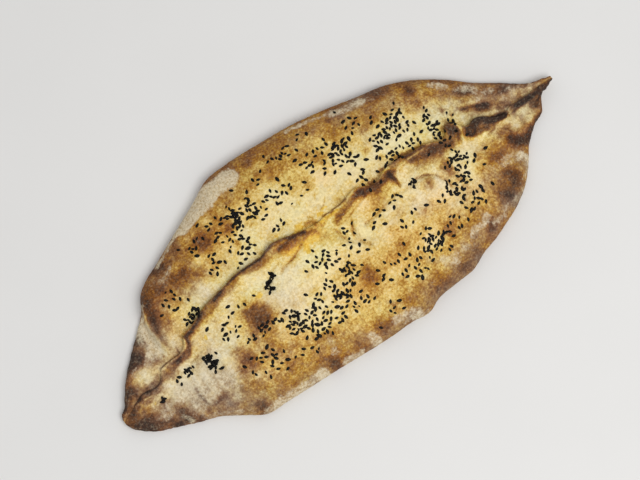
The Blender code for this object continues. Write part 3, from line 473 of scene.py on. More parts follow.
# Browned folds, and along the seam the lip's painted shadow and painted shade in its hollows:
# ((x, y) ..., half width, amount).
BROWNED_FOLDS_AND_SHADE = (
    (((-160, -35), (-157, -41), (-153, -47)), 4.0, 0.36),
    (((-140.5, -17), (-141, -26), (-142, -33), (-142, -40)), 1.6, 0.20),
    (((-141, -43), (-133, -42.6), (-126, -41.5)), 1.8, 0.12),
    (((11, 7.4), (17, 8.8), (24, 10.8), (30, 12.4), (36, 13), (42, 11.5), (48, 10)), 3.1, 0.44),
    (((61, 9), (62.5, 5), (63.6, 0.5)), 2.0, 0.24),
    (((133, 14.6), (138, 13.2), (143.5, 10.6), (150, 7.2)), 2.5, 0.42),
    (((143, 9), (148, 6.8), (153, 4.6)), 3.0, 0.34),
    (((157, 1), (161, 0), (164, -2)), 2.2, 0.40),
    # Painted shade in the hollow of the right tail's seam.
    (((127.5, 0), (132, 0.4), (137, 0.2), (143, -2), (150, -4.4), (157, -5.8)), 2.9, 0.36),
    (((129, -4), (138, -6.2), (147, -7.2), (156, -7.4)), 2.9, 0.46),
    (((164, -6), (172, -7.2), (181, -8.4)), 2.2, 0.32),
    (((122, -18), (132, -17.5), (143, -18.5)), 5.0, 0.24),
    (((129, -26), (140, -26), (150, -26)), 6.0, 0.20),
    (((148, -24), (152, -28), (157, -30), (165, -29), (176, -25.5)), 4.0, 0.38),
    (((176, -14), (180, -16.5)), 2.2, 0.30),
    # The seam's far wall, partly charred and partly painted shade.
    (((134, 3.6), (139, 3.4), (144, 0.4), (149, -2.6), (156, -4.8)), 1.5, 0.46),
    (((-139, 8), (-140.4, 16), (-139.6, 22)), 1.8, 0.24),
    # The lip's painted shadow on the far flap, along its partly burnt edge.
    (((-77, 19.4), (-66, 20.8), (-58, 20), (-50, 19.6)), 1.5, 0.34),
    (((47, 14.4), (54, 14), (60, 16)), 1.6, 0.30),
    (((75, 16), (84, 15.2), (93, 12.8)), 1.3, 0.32),
    (((-104, 15), (-99, 16.6), (-92, 16.8), (-86, 18)), 1.6, 0.26),
)
# Where bench flour still lies: ((x, y) ..., half width, amount).
FLOURED = (
    # Along the far edge, left to right.
    (((-150, 32), (-148, 20), (-150, 12)), 6.0, 0.58),
    (((-172, 9), (-162, 8), (-156, 12)), 3.5, 0.35),
    (((-142, 37), (-137, 44)), 2.0, 0.50),
    (((-145, 35), (-146.5, 26), (-147, 14)), 3.2, 0.40),
    (((-119, 51), (-113, 48)), 3.2, 0.34),
    (((-108, 51), (-103, 54)), 2.2, 0.35),
    (((-112, 60), (-98, 66), (-86, 70)), 2.0, 0.50),
    (((-82, 73), (-70, 76), (-55, 79), (-42, 80), (-31, 79)), 7.4, 1.00),
    (((22, 81), (40, 76.5), (52, 73)), 1.6, 0.50),
    (((56, 70.5), (68, 67), (80, 64.5)), 3.6, 0.50),
    (((86, 62), (98, 59)), 2.6, 0.26),
    (((126, 44), (134, 36)), 3.2, 0.48),
    (((140, 29), (150, 22)), 4.0, 0.42),
    (((147, 14.5), (153, 15), (160, 14)), 2.8, 0.36),
    (((163, 3), (172, 4), (184, -1)), 4.5, 0.28),
    # Along the near edge, left to right.
    (((-172, -28), (-164, -26), (-156, -24)), 5.0, 0.32),
    (((-162, -36), (-158, -44)), 1.8, 0.45),
    (((-150, -24), (-138, -24), (-127, -22)), 8.0, 0.46),
    (((-148, -38), (-136, -34), (-120, -34)), 7.0, 0.50),
    (((-147, -50), (-134, -57), (-122, -65)), 3.6, 0.36),
    (((-116, -44), (-112, -30)), 4.5, 0.30),
    (((-111, -73), (-95, -74.5), (-80, -75.5), (-66, -77)), 5.4, 0.56),
    (((-65, -73), (-64, -77)), 4.0, 0.62),
    (((-46, -58), (-47, -68)), 3.0, 0.36),
    (((-46, -78), (-34, -79.5)), 3.4, 0.58),
    (((-19.5, -74), (-20, -80)), 4.0, 0.58),
    (((1, -76), (9, -79), (16, -80)), 4.6, 0.46),
    (((12, -84), (24, -86)), 2.4, 0.38),
    (((55, -63), (59, -66), (62, -67)), 4.6, 0.46),
    (((72, -65), (77, -68)), 4.0, 0.38),
    (((84, -60.5), (92, -59.5), (98, -57)), 3.6, 0.50),
    (((101, -64), (108, -65)), 3.0, 0.50),
    (((112, -62), (124, -60.5), (132, -56)), 2.8, 0.26),
    (((138, -52), (144, -47), (149, -42)), 2.4, 0.34),
    (((127, -33), (138, -34), (148, -36)), 4.4, 0.30),
    (((146, -39), (148, -42)), 4.0, 0.34),
    # On the crown.
    (((46, -16), (52, -13)), 6.0, 0.22),
    (((-55, -26), (-54, -12)), 5.0, 0.24),
    (((28, -24), (20, -18)), 5.0, 0.20),
    (((-78, 71), (-64, 72.5), (-50, 74)), 3.6, 0.55),
)
# How far round the outer edge the underside's flour begins.
FLOUR_UNDER_FROM = 0.4
# Where the crust is drier, and so greyer, or oilier below 0: (x, y, half length, half width, amount).
DRIED = (
    (-168, -5, 34, 45, 0.22), (-138, -33, 26, 20, 0.24), (-150, 20, 12, 18, 0.18), (-97, 26, 10, 8, 0.22),
    (-110, -17, 14, 11, 0.24), (-48, -10, 13, 16, 0.26), (-85, -74, 26, 6, 0.14), (10, -82, 60, 5, 0.16),
    (90, -68, 40, 7, 0.10), (168, 2, 32, 24, 0.24), (134, -22, 12, 7, -0.16), (163, -16, 14, 4, 0.12),
    (122, 22, 20, 8, 0.14), (80, -15, 22, 12, 0.10), (66, -20, 12, 12, 0.12), (72, 68, 30, 6, 0.10),
    (-52, 78, 24, 8, 0.06), (-48, 24, 12, 6, 0.12), (0, -40, 45, 22, -0.20), (-8, -20, 12, 16, -0.14),
    (-10, 50, 55, 20, -0.17), (15, 44, 18, 8, -0.16), (45, -35, 22, 18, -0.12), (-10, 10, 26, 8, -0.30),
    (35, 2, 24, 6, -0.18), (-75, 50, 20, 14, -0.08), (-5, 78, 55, 6, -0.10), (-20, 0, 22, 4, 0.12),
    (114, -40, 12, 14, 0.12), (96, 46, 20, 12, 0.08), (-126, -52, 9, 7, 0.26), (-111, -60, 10, 6, 0.16),
    (30, 42, 13, 8, -0.12), (-5, -19, 7, 7, -0.22), (128, -61, 16, 5, 0.30), (70, -78, 18, 5, 0.26),
    (84, 65, 26, 4, 0.16), (42, -83, 14, 4, 0.14), (146, -45, 4, 8, 0.20),
)
# How dry it is elsewhere, how much those places and flour add, and how much painted shade greys dark
# creases.
DRY_EVERYWHERE, DRY_PATCHES, DRY_FLOUR, CREASE_SHADE_GREYING = 0.08, 1.2, 0.15, 0.3
# How much flour evens its dryness out.
FLOUR_EVENS = 0.7
# Where the crust is ruddier, or yellower below 0: (x, y, half length, half width, amount).
RUDDY = (
    (35, -36, 42, 18, 1.0), (-65, 56, 30, 16, 0.9), (-75, -38, 26, 14, 0.7), (-12, -42, 14, 12, 0.9),
    (82, -24, 16, 10, 1.0), (-132, 26, 10, 14, 1.2), (34, 2, 14, 8, 1.0), (24, 40, 10, 6, 0.9),
    (-136, -1, 10, 5, 1.2), (105, -38, 10, 8, 1.0), (152, -25, 16, 6, 1.3), (143, 8, 10, 5, 0.8),
    (118, 14, 26, 12, -1.2), (168, -14, 12, 8, -1.2), (-55, 24, 30, 8, -0.7), (-110, -62, 16, 8, -1.1),
    (88, 24, 24, 8, -0.8), (-3, -2, 20, 8, -1.0), (132, -60, 16, 12, -0.9), (-110, 17, 10, 7, -1.2),
    (-80, -73, 30, 5, -1.0), (15, -82, 60, 4, -0.7), (68, -70, 14, 6, -0.9), (144, -40, 8, 5, -1.2),
    (-66, 2, 10, 5, -0.9),
)
RUDDY_PATCHES = 0.4
# Melted cheese and oil that came up at the seam: (x, y, half length, half width, amount).
CHEESY = (
    (-27, 11.5, 7, 5, 0.9), (-35, 18, 5, 2.5, 0.7), (-16, 18.4, 5, 1.4, 1.0), (-12, 21, 3.5, 2.4, 0.8),
    (-28.5, 25, 3.5, 2, 0.6), (-13, 9, 5, 3, 0.8), (-17, 5, 4, 2.5, 0.6), (-18, 1.5, 1.8, 1.5, 1.0),
    (-8, 5, 4, 3, 0.5), (-4, 9, 6, 3, 0.5), (4.5, 18.6, 2.8, 1.5, 1.0), (10, 20.3, 3.2, 1.1, 0.8),
    (4, 13, 8, 2, 0.7), (14, 12.6, 4, 1.5, 0.8), (0, 33, 4, 3, 0.3), (10.5, 31, 2, 1.6, 0.4),
    (-113.5, -1.5, 1.2, 2.2, 1.0), (-65, -1.5, 3.2, 2, 1.0), (-75, -4, 2, 1.5, 0.6), (-55, 15, 8, 2.5, 0.3),
    (60, 14.5, 4, 1.2, 0.7), (66, 11, 3, 1.5, 0.6), (-76, 32, 5, 4, 0.45), (-96, -28, 8, 4, 0.25),
    (123, 4, 1.5, 5, 0.6), (126, -6, 2.5, 1.2, 0.8), (-172, -17, 2, 1.5, 0.5), (-52, -42, 10, 4, 0.25),
    (-44, 22, 6, 2, 0.4),
)
# The band along the lip, browned, and darkened with painted shade on its steep side:
# (x, how far below the lip its middle lies, half width, how dark it is).
LIP_BAND = (
    (-197, 3.0, 3.0, 0.20), (-182, 2.0, 2.0, 0.25), (-165, 2.5, 2.5, 0.28), (-155, 6.0, 5.0, 0.26),
    (-148, 4.2, 3.6, 0.34), (-143, 4.0, 2.2, 0.62), (-135, 4.6, 2.8, 0.60), (-129, 6.0, 3.4, 0.58),
    (-125, 4.2, 3.8, 0.50), (-119, 3.0, 3.2, 0.50), (-110, 3.0, 3.6, 0.48), (-100, 4.0, 4.2, 0.46),
    (-90, 2.8, 3.0, 0.48), (-82, 3.2, 3.6, 0.42), (-70, 2.4, 2.4, 0.40), (-60, 2.8, 3.0, 0.40),
    (-50, 3.6, 3.8, 0.38), (-42, 4.8, 4.6, 0.38), (-34, 6.0, 5.2, 0.38), (-24, 4.6, 4.4, 0.42),
    (-14, 3.2, 3.0, 0.42), (-6, 3.4, 3.0, 0.24), (2, 2.6, 2.4, 0.16), (10, 3.0, 2.5, 0.06),
    (28, 3.0, 2.5, 0.06), (35, 4.6, 4.2, 0.32), (43, 4.4, 4.2, 0.36), (50, 2.6, 2.6, 0.58),
    (56, 3.8, 3.0, 0.62), (62, 5.2, 3.4, 0.58), (66, 3.8, 2.6, 0.34), (71, 3.4, 2.4, 0.22),
    (77, 4.0, 4.0, 0.52), (84, 5.2, 4.6, 0.60), (95, 5.4, 4.8, 0.60), (105, 4.4, 4.6, 0.56),
    (112, 6.6, 5.0, 0.40), (118, 9.0, 4.0, 0.34), (123, 7.4, 4.0, 0.36), (128, 4.0, 3.6, 0.48),
    (140, 3.0, 3.4, 0.46), (152, 2.4, 2.4, 0.46), (158, 3.0, 2.5, 0.14), (163, 3.0, 2.6, 0.42),
    (178, 3.0, 2.6, 0.55), (196.5, 3.0, 3.0, 0.50),
)

# What is painted on the crust's points for its material, each from 0 to 1.
PAINTED = ("baked", "flour", "dry", "ruddy", "cheese")
# The crust material's grains: (size in mm, detail, roughness). Each is centred on 0.
CRUST_GRAINS = {
    "blotch": (7.0, 3, 0.6),
    "pore": (2.6, 3, 0.6),
    "freckle": (1.5, 2, 0.6),
    "flour": (1.7, 3, 0.7),
    "flour cloud": (4.6, 3, 0.6),
    "skin": (1.8, 2, 0.6),
    "pit": (1.6, 4, 0.65),
    "fine pit": (0.6, 2, 0.6),
}
# How much each grain mottles the bake, the veil of flour and the oil.
BAKE_MOTTLING = {"blotch": 0.28, "pore": 0.46, "freckle": 0.58}
VEIL_MOTTLING = {"flour cloud": 0.95, "flour": 0.6}
OIL_MOTTLING = 1.2
# How strongly the bake is mottled on bare crust, and how much flour and dryness take from that.
BARE_MOTTLING, COVER_CALMS = 1.1, -0.5
# How baked the crust is at each of its colours.
BAKE_STOPS = {"crumb": 0.0, "straw": 0.22, "golden": 0.42, "brown": 0.60, "deep_brown": 0.78, "char": 1.0}
# Where oil and flour begin to show, where they show in full, and how strongly they may show.
OIL_SHOWS = {"From Min": 0.22, "From Max": 0.65}
FLOUR_THICKENS = {"From Min": -0.18, "From Max": 0.08}
FLOUR_SPECKS = {"From Min": 0.0, "From Max": 0.16, "To Max": 0.12}
FLOUR_COVERS = {"From Min": 0.18, "From Max": 0.75, "To Max": 0.85}
# How baked the crust is where its pores begin to hold flour, and where they all do.
BROWN_STARTS = {"From Min": 0.2, "From Max": 0.45}
# How grey the driest crust is, and how much the skin's grain varies its brightness, about this middle.
DRY_IS_GREY = 0.9
SKIN_STRENGTH, SKIN_BRIGHTNESS = 0.68, 0.97
# How deep the fine pits are beside the others.
FINE_PITS = 0.5
CRUST_SPECULAR, OILY_ROUGHNESS = 0.2, 0.35

# The size of the husk's clouds, the width and depth of its ribs, and the size of the paint's clouds, in mm.
HUSK_CLOUDS, HUSK_RIBS, HUSK_RIB_DEPTH, PAINT_CLOUDS = 2.5, 0.35, 0.1, 90
HUSK_RIB_STRENGTH, HUSK_ROUGHNESS, HUSK_SPECULAR = 0.5, 0.5, 0.14
PAINT_ROUGHNESS = 0.7

# The gap between the floor and the calzone, and the large lamp's place, in mm.
FLOOR_GAP = 0.1
KEY_PLACE = (150, -750, 1600)

# Settings of the nodes that come up often.
ADD, SUBTRACT = {"operation": "ADD"}, {"operation": "SUBTRACT"}
MULTIPLY, MULTIPLY_ADD = {"operation": "MULTIPLY"}, {"operation": "MULTIPLY_ADD"}
COLOURS = {"data_type": "RGBA"}
COLOURS_MULTIPLIED = {"data_type": "RGBA", "blend_type": "MULTIPLY"}
SMOOTHLY = {"interpolation_type": "SMOOTHSTEP"}
# Inputs of the seeds' node tree.
SEED_TREE_INPUTS = {
    "Places": "NodeSocketGeometry",
    "Crust": "NodeSocketObject",
    "Length": "NodeSocketFloat",
    "Width": "NodeSocketFloat",
    "Thickness": "NodeSocketFloat",
    "Sunk": "NodeSocketFloat",
    "Husk": "NodeSocketMaterial",
}


def curve_through(points):
    """A smooth function of x through the points: cubics whose slope at a point comes from its neighbours."""
    xs, ys = np.array(points, float).T
    slopes = np.gradient(ys, xs)

    def value(x):
        x = np.clip(x, xs[0], xs[-1])
        i = np.clip(np.searchsorted(xs, x) - 1, 0, len(xs) - 2)
        width = xs[i + 1] - xs[i]
        t = (x - xs[i]) / width
        start = (1 + 2 * t) * (1 - t) ** 2 * ys[i] + t * (1 - t) ** 2 * width * slopes[i]
        end = t * t * (3 - 2 * t) * ys[i + 1] + t * t * (t - 1) * width * slopes[i + 1]
        return start + end

    return value


far_edge = curve_through(FAR_EDGE)
near_edge = curve_through(NEAR_EDGE)
near_crown = curve_through(NEAR_CROWN)
far_crown = curve_through(FAR_CROWN)
edge_middle = curve_through(EDGE_MIDDLE)
lip_step = curve_through(LIP_STEP)
dome_power = curve_through(DOME_POWER)


def true_x(x):
    """X of a place on the table that is seen at this x."""
    return (x - READ_RIGHT) / READ_SCALE


def settled(place):
    """A place, (x, y) and whatever follows, moved from where it is seen to where it lies on the crust."""
    x, y, *rest = place
    x, y = true_x(x), (y - READ_BACK) / READ_SCALE
    near, far = near_edge(x), far_edge(x)
    share = min(1, abs(2 * y - near - far) / (far - near))
    rise = near_crown(x) * math.sqrt(1 - share ** dome_power(x))
    return (x - SLANT_ALONG * rise, y - SLANT_ACROSS * rise, *rest)


lip_line = curve_through([settled(place) for place in LIP_LINE])
band_middle = curve_through([(true_x(x), middle) for x, middle, _, _ in LIP_BAND])
band_half_width = curve_through([(true_x(x), half_width) for x, _, half_width, _ in LIP_BAND])
band_brown_and_shade = curve_through([(true_x(x), brown) for x, _, _, brown in LIP_BAND])


def smooth_step(low, high, value):
    """A smooth rise from 0, where the value is low, to 1, where it is high."""
    t = np.clip((value - low) / (high - low), 0, 1)
    return t * t * (3 - 2 * t)


def rises(steps, value):
    """Sum of the smooth rises in the steps, (low, high, amount)."""
    return sum(amount * smooth_step(low, high, value) for low, high, amount in steps)


def noise_over(x, y, size, pattern):
    """Smooth noise from about -1 to 1, with lumps of this size in mm."""
    x, y = np.broadcast_arrays(x, y)
    values = [noise.noise((px / size, py / size, pattern)) for px, py in zip(x.ravel(), y.ravel())]
    return np.reshape(values, x.shape)


def uneven(quality, x, y):
    """The quality's middle value with its layers of noise over it."""
    middle, *layers = UNEVEN[quality]
    return middle + sum(amount * noise_over(x, y, size, pattern) for size, pattern, amount in layers)


def distance_to_run(x, y, run):
    """Distance from each (x, y) to the broken line through the run's places."""
    nearest = np.full(np.shape(x), np.inf)
    points = [settled(place) for place in run]
    for (ax, ay), (bx, by) in zip(points, points[1:]):
        dx, dy = bx - ax, by - ay
        share = np.clip(((x - ax) * dx + (y - ay) * dy) / (dx * dx + dy * dy), 0, 1)
        nearest = np.minimum(nearest, np.hypot(x - ax - share * dx, y - ay - share * dy))
    return nearest


def patches(x, y, places):
    """Sum of the soft oval patches at the places."""
    total = np.zeros(np.shape(x))
    for px, py, half_length, half_width, amount in map(settled, places):
        total = total + amount * np.exp(-(((x - px) / half_length) ** 2) - ((y - py) / half_width) ** 2)
    return total


def streaks(x, y, runs, power):
    """Sum of the streaks along the runs. A higher power gives a flatter middle and a sharper edge."""
    total = np.zeros(np.shape(x))
    for run, half_width, amount in runs:
        total = total + amount * np.exp(-((distance_to_run(x, y, run) / half_width) ** power))
    return total


def ragged(x, y, amount):
    """The same places, shifted here and there by about this many mm, so that what is drawn there frays."""
    return x + amount * uneven("fray along", x, y), y + amount * uneven("fray across", x, y)


def creases_and_painted_shade(x, y):
    """Height and darkness of the fine creases: browning and painted shade, below 0 painted highlight."""
    height = np.zeros(np.shape(x))
    dark = np.zeros(np.shape(x))
    for run, half_width, rise, darkness in CREASES:
        profile = np.exp(-((distance_to_run(x, y, run) / half_width) ** 2))
        height = height + rise * profile
        dark = dark + darkness * profile
    return height, dark


def gathered(x, y):
    """The fine wrinkles out of the pinched tips and across the stretched left end, from about -1 to 1."""
    total = np.zeros(np.shape(x))
    for tip_x, tip_y, reach in TIP_WRINKLES:
        away, turn = np.hypot(x - tip_x, y - tip_y), np.arctan2(y - tip_y, np.abs(x - tip_x))
        wrinkles = uneven("tip wrinkles", away, TIP_WRINKLE_FAN * turn)
        total = total + wrinkles * smooth_step(reach, reach / 3, away)
    middle_x, middle_y, half_length, half_width = STRETCHED
    there = np.exp(-(((x - middle_x) / half_length) ** 2) - ((y - middle_y) / half_width) ** 2)
    return total + uneven("stretch wrinkles", x, y / STRETCH_WRINKLE_DRAW) * there


def bubble_places(count):
    """(x, y, radius, radius, height) of the small bubbles that rose in the dough."""
    draw = random.Random(BUBBLE_SEED)
    places = []
    while len(places) < count:
        x = draw.uniform(LEFT_TIP, RIGHT_TIP)
        y = draw.uniform(-HALF_WIDTH, HALF_WIDTH)
        radius = draw.uniform(*BUBBLE_RADII)
        if near_edge(x) + BUBBLE_MARGIN < y < far_edge(x) - BUBBLE_MARGIN:
            places.append((x, y, radius, radius, radius * draw.uniform(*BUBBLE_RISES)))
    return places


def relief(x, y, bubbles):
    """All that stands above or below the smooth domes: lumps, blisters, creases, pleats and bubbles."""
    height = uneven("relief", x, y) + WRINKLE_HEIGHT * gathered(x, y)
    height = height + patches(x, y, BLISTERS) + patches(x, y, bubbles)
    return height + streaks(x, y, PLEATS, 2) + creases_and_painted_shade(*ragged(x, y, CREASE_FRAY))[0]


def lift(x):
    """How far the underside stands off the table: nothing but for the curled tails."""
    left = np.maximum(0, LEFT_CURL_FROM - x) / (LEFT_CURL_FROM - LEFT_TIP)
    right = np.maximum(0, x - RIGHT_CURL_FROM) / (RIGHT_TIP - RIGHT_CURL_FROM)
    return LEFT_CURL * left**2 + RIGHT_CURL * right**2


def dome(x, share, crown):
    """Height of a flap at a share of the way from the seam, 0, to the outer edge, 1."""
    low = edge_middle(x)
    return low + (crown - low) * np.sqrt(np.maximum(0, 1 - share ** dome_power(x)))


def near_height(x, y, near, bubbles):
    """Top of the near flap, with the rolled ridge along its free edge."""
    lip = lip_line(x)
    share = np.clip((lip - y) / (lip - near), 0, 1)
    ridge = LIP_ROLL_HEIGHT * np.exp(-(((lip - y - LIP_RADIUS) / LIP_ROLL_WIDTH) ** 2))
    ridge = ridge * smooth_step(*LIP_ROLL_STEPS, lip_step(x))
    return dome(x, share, near_crown(x)) + smooth_step(1, NEAR_RIM, share) * (relief(x, y, bubbles) + ridge)


def far_height(x, y, far, groove, bubbles):
    """Top of the far flap, which dips under the near one to the groove's height."""
    lip = lip_line(x)
    share = np.clip((y - lip) / (far - lip), 0, 1)
    fold = POCKET_X + POCKET_BOW * ((y - POCKET_Y) / POCKET_REACH) ** 2
    pocket = POCKET_STEP * (smooth_step(0, POCKET_RISE, x - fold) - smooth_step(*POCKET_FADE, x))
    body = dome(x, share, far_crown(x)) + smooth_step(1, FAR_RIM, share) * (relief(x, y, bubbles) + pocket)
    return body + (groove - body) * np.exp(-(((y - lip) / VALLEY_WIDTH) ** 2))


def spread_points(count):
    """Shares from 0 to 1, a little closer together at both ends, where the dough turns over."""
    even = np.linspace(0, 1, count)
    return 0.5 * even + 0.25 * (1 - np.cos(math.pi * even))


def ring_places(count):
    """X of each ring of points: even along the body, closer together towards the blunt tips."""
    even = np.linspace(-1, 1, count)
    reach = (RIGHT_TIP - LEFT_TIP) / 2 - TIP_INSET
    rounded = even * (1 + (1 - np.abs(even)) * TIP_CROWDING / reach)
    return (RIGHT_TIP + LEFT_TIP) / 2 + reach * rounded


def crust_points(rings, around, bubbles):
    """X, y, z and side of the crust's points, in rings from the near edge over the top and back underneath.

    The side is 0 on top, rises to 1 round the edge, and is 1 underneath.
    """
    x = ring_places(rings)[:, None]
    raggedness = EDGE_RAGGED + TIP_RAGGED * smooth_step(*TIP_RAGGED_FROM, np.abs(x))
    near = near_edge(x) + raggedness * uneven("near edge", x, 0)
    far = far_edge(x) + raggedness * uneven("far edge", x, 0)
    lip = lip_line(x)
    middle = edge_middle(x)
    step = lip_step(x)
    room = np.minimum(LIP_SHARE_OF_STEP * step, LIP_SHARE_OF_FLAP * np.minimum(lip - near, far - lip))
    radius = np.minimum(LIP_RADIUS, room)

    share = spread_points(int(around * NEAR_POINTS))[None, ::-1]
    near_y = (lip - radius) - (lip - radius - near) * share
    near_z = near_height(x, near_y, near, bubbles)
    crest = near_z[:, -1:]
    groove = crest - step

    turn = np.radians(np.linspace(LIP_TURN, -LIP_TURN, LIP_POINTS))[None, :]
    lip_y = lip - radius + radius * np.cos(turn)
    lip_z = crest - radius + radius * np.sin(turn)

    share = spread_points(int(around * FAR_POINTS))[None, :]
    start = lip - LIP_OVERHANG * radius
    far_y = start + (far - start) * share
    far_z = far_height(x, np.maximum(far_y, lip), far, groove, bubbles)
    far_z[:, :1] = groove

    corner = np.minimum(CORNER_SHARE * middle, (far - near) / 4)
    side = np.linspace(0, 1, SIDE_POINTS)[None, 1:]
    turned = corner * (1 - np.sqrt(1 - side**2))
    side_z = middle * (1 - side)
    share = np.linspace(0, 1, int(around * UNDER_POINTS))[None, 1:-1]
    under_y = (far - corner) + (near - far + 2 * corner) * share

    y = [near_y, lip_y, far_y, far - turned, under_y, (near + turned)[:, ::-1]]
    z = [near_z, lip_z, far_z, side_z, np.zeros_like(under_y), side_z[:, ::-1]]
    y, z = np.concatenate(y, axis=1), np.concatenate(z, axis=1)
    on_top = near_y.shape[1] + lip_y.shape[1] + far_y.shape[1]
    under = np.concatenate([np.zeros(on_top), side[0], np.ones(under_y.shape[1]), side[0, ::-1]])
    return np.broadcast_to(x, y.shape), y, z + lift(x), np.broadcast_to(under, y.shape)


def browning(x, y, under, bubbles):
    """How far the crust is baked, from 0, pale, through 0.5, golden brown, to 1, charred."""
    # It also holds painted shade and painted highlights from the seam, creases and hollows.
    lip = lip_line(x)
    share = np.where(y < lip, (lip - y) / (lip - near_edge(x)), (y - lip) / (far_edge(x) - lip))
    share = share + uneven("share", x, y)
    left = LEFT_BROWNING * smooth_step(*LEFT_BROWNING_X, x) * smooth_step(*LEFT_BROWNING_SHARE, share)
    baked = PALE + np.where(y < lip, rises(NEAR_BROWNING, share), rises(FAR_BROWNING, share) + left)
    baked = baked + TIP_BROWNING * smooth_step(*TIP_BROWNING_X, np.abs(x))

    # The band along the lip: browned, and painted shade on its steep side.
    depth = np.abs(lip - y - band_middle(x) + uneven("band middle", x, y)) / band_half_width(x)
    band = band_brown_and_shade(x) * np.exp(-(depth**3)) * uneven("band", x, y)
    baked = baked + np.where(y < lip + BAND_OVERLAP, band, 0)

    baked = baked + patches(*ragged(x, y, PATCH_FRAY), BROWNED_AND_SHADE) * uneven("patches", x, y)
    sharp_x, sharp_y = ragged(x, y, FOLD_FRAY)
    baked = baked + streaks(sharp_x, sharp_y, BROWNED_FOLDS_AND_SHADE, 3) * uneven("folds", x, y)
    # The creases darken as browning and painted shade, and lit ridges pale as painted highlight.
    baked = baked + creases_and_painted_shade(sharp_x, sharp_y)[1] + uneven("baked", x, y)
    baked = baked + BUBBLE_BROWNING * patches(x, y, bubbles) - WRINKLE_PALING * gathered(x, y)
    baked = baked + (uneven("baked underneath", x, y) - baked) * smooth_step(BROWN_UNDER_FROM, 1, under)
    return np.clip(baked, 0, 1)


def flouring(x, y, under):
    """How much bench flour lies on the crust, from 0 to 1."""
    flour = streaks(*ragged(x, y, FLOUR_FRAY), FLOURED, 4) + uneven("flour", x, y)
    flour = flour + WRINKLE_FLOUR * gathered(x, y)
    flour = flour + (uneven("flour underneath", x, y) - flour) * smooth_step(FLOUR_UNDER_FROM, 1, under)
    return np.clip(flour, 0, 1)


def drying(x, y, flour):
    """How dry, and so how grey, the crust is, from 0, oiled, to 1. Dark creases grey as painted shade."""
    dry = DRY_EVERYWHERE + DRY_PATCHES * patches(*ragged(x, y, DRY_FRAY), DRIED)
    dry = dry + (1 - FLOUR_EVENS * flour) * uneven("dry", x, y)
    return np.clip(dry + DRY_FLOUR * flour + CREASE_SHADE_GREYING * np.maximum(0, creases_and_painted_shade(x, y)[1]), 0, 1)


def blushing(x, y):
    """How ruddy the crust is, from 0, yellowish, through 0.5 to 1."""
    return np.clip(RUDDY_PATCHES * patches(x, y, RUDDY) + uneven("ruddy", x, y), 0, 1)


def linear(hex_colour):
    """An sRGB hex colour as linear red, green, blue and 1."""
    parts = [int(hex_colour[i : i + 2], 16) / 255 for i in (1, 3, 5)]
    return [c / 12.92 if c <= 0.04045 else ((c + 0.055) / 1.055) ** 2.4 for c in parts] + [1.0]


def colour_property(name, description, hex_colour):
    """A colour that is given as sRGB hex."""
    return FloatVectorProperty(
        name=name, description=description, subtype="COLOR", size=4, min=0, max=1, default=linear(hex_colour)
    )


def length_property(name, description, millimetres, least=0):
    """A length, shown in the scene's own unit. Its default and its least value are in mm."""
    return FloatProperty(
        name=name,
        description=description,
        default=millimetres * MM,
        min=least * MM,
        subtype="DISTANCE",
        unit="LENGTH",
    )


def angle_property(name, description, degrees):
    """An angle that is given in degrees."""
    return FloatProperty(name=name, description=description, default=math.radians(degrees), subtype="ANGLE")


def share_property(name, description, default):
    """A value from 0 to 1."""
    return FloatProperty(name=name, description=description, default=default, min=0, max=1, subtype="FACTOR")


def add_node(tree, kind, settings=(), inputs=(), output=0):
    """Adds one node, sets its settings, and gives each input a value or links it to another node's output.

    Returns the node's first output, or the one asked for.
    """
    node = tree.nodes.new(kind)
    for name, value in dict(settings).items():
        setattr(node, name, value)
    for key, value in dict(inputs).items():
        if isinstance(value, bpy.types.NodeSocket):
            tree.links.new(value, node.inputs[key])
        else:
            node.inputs[key].default_value = value
    return node.outputs[output]


def new_material(name):
    """A new material with a Principled BSDF. Returns it, its tree, the shader and the object coordinates."""
    material = bpy.data.materials.new(name)
    material.use_nodes = True
    tree = material.node_tree
    place = add_node(tree, "ShaderNodeTexCoord", output="Object")
    return material, tree, tree.nodes["Principled BSDF"], place


def tint(tree, shader, place, size, colour, other):
    """Colours the shader in soft clouds of this size in mm, from one colour to the other."""
    cloud = {"Vector": place, "Scale": 1 / (size * MM), "Detail": 2}
    cloud = add_node(tree, "ShaderNodeTexNoise", {}, cloud)
    tinted = add_node(tree, "ShaderNodeMix", COLOURS, {0: cloud, 6: colour, 7: other}, 2)
    tree.links.new(tinted, shader.inputs["Base Color"])


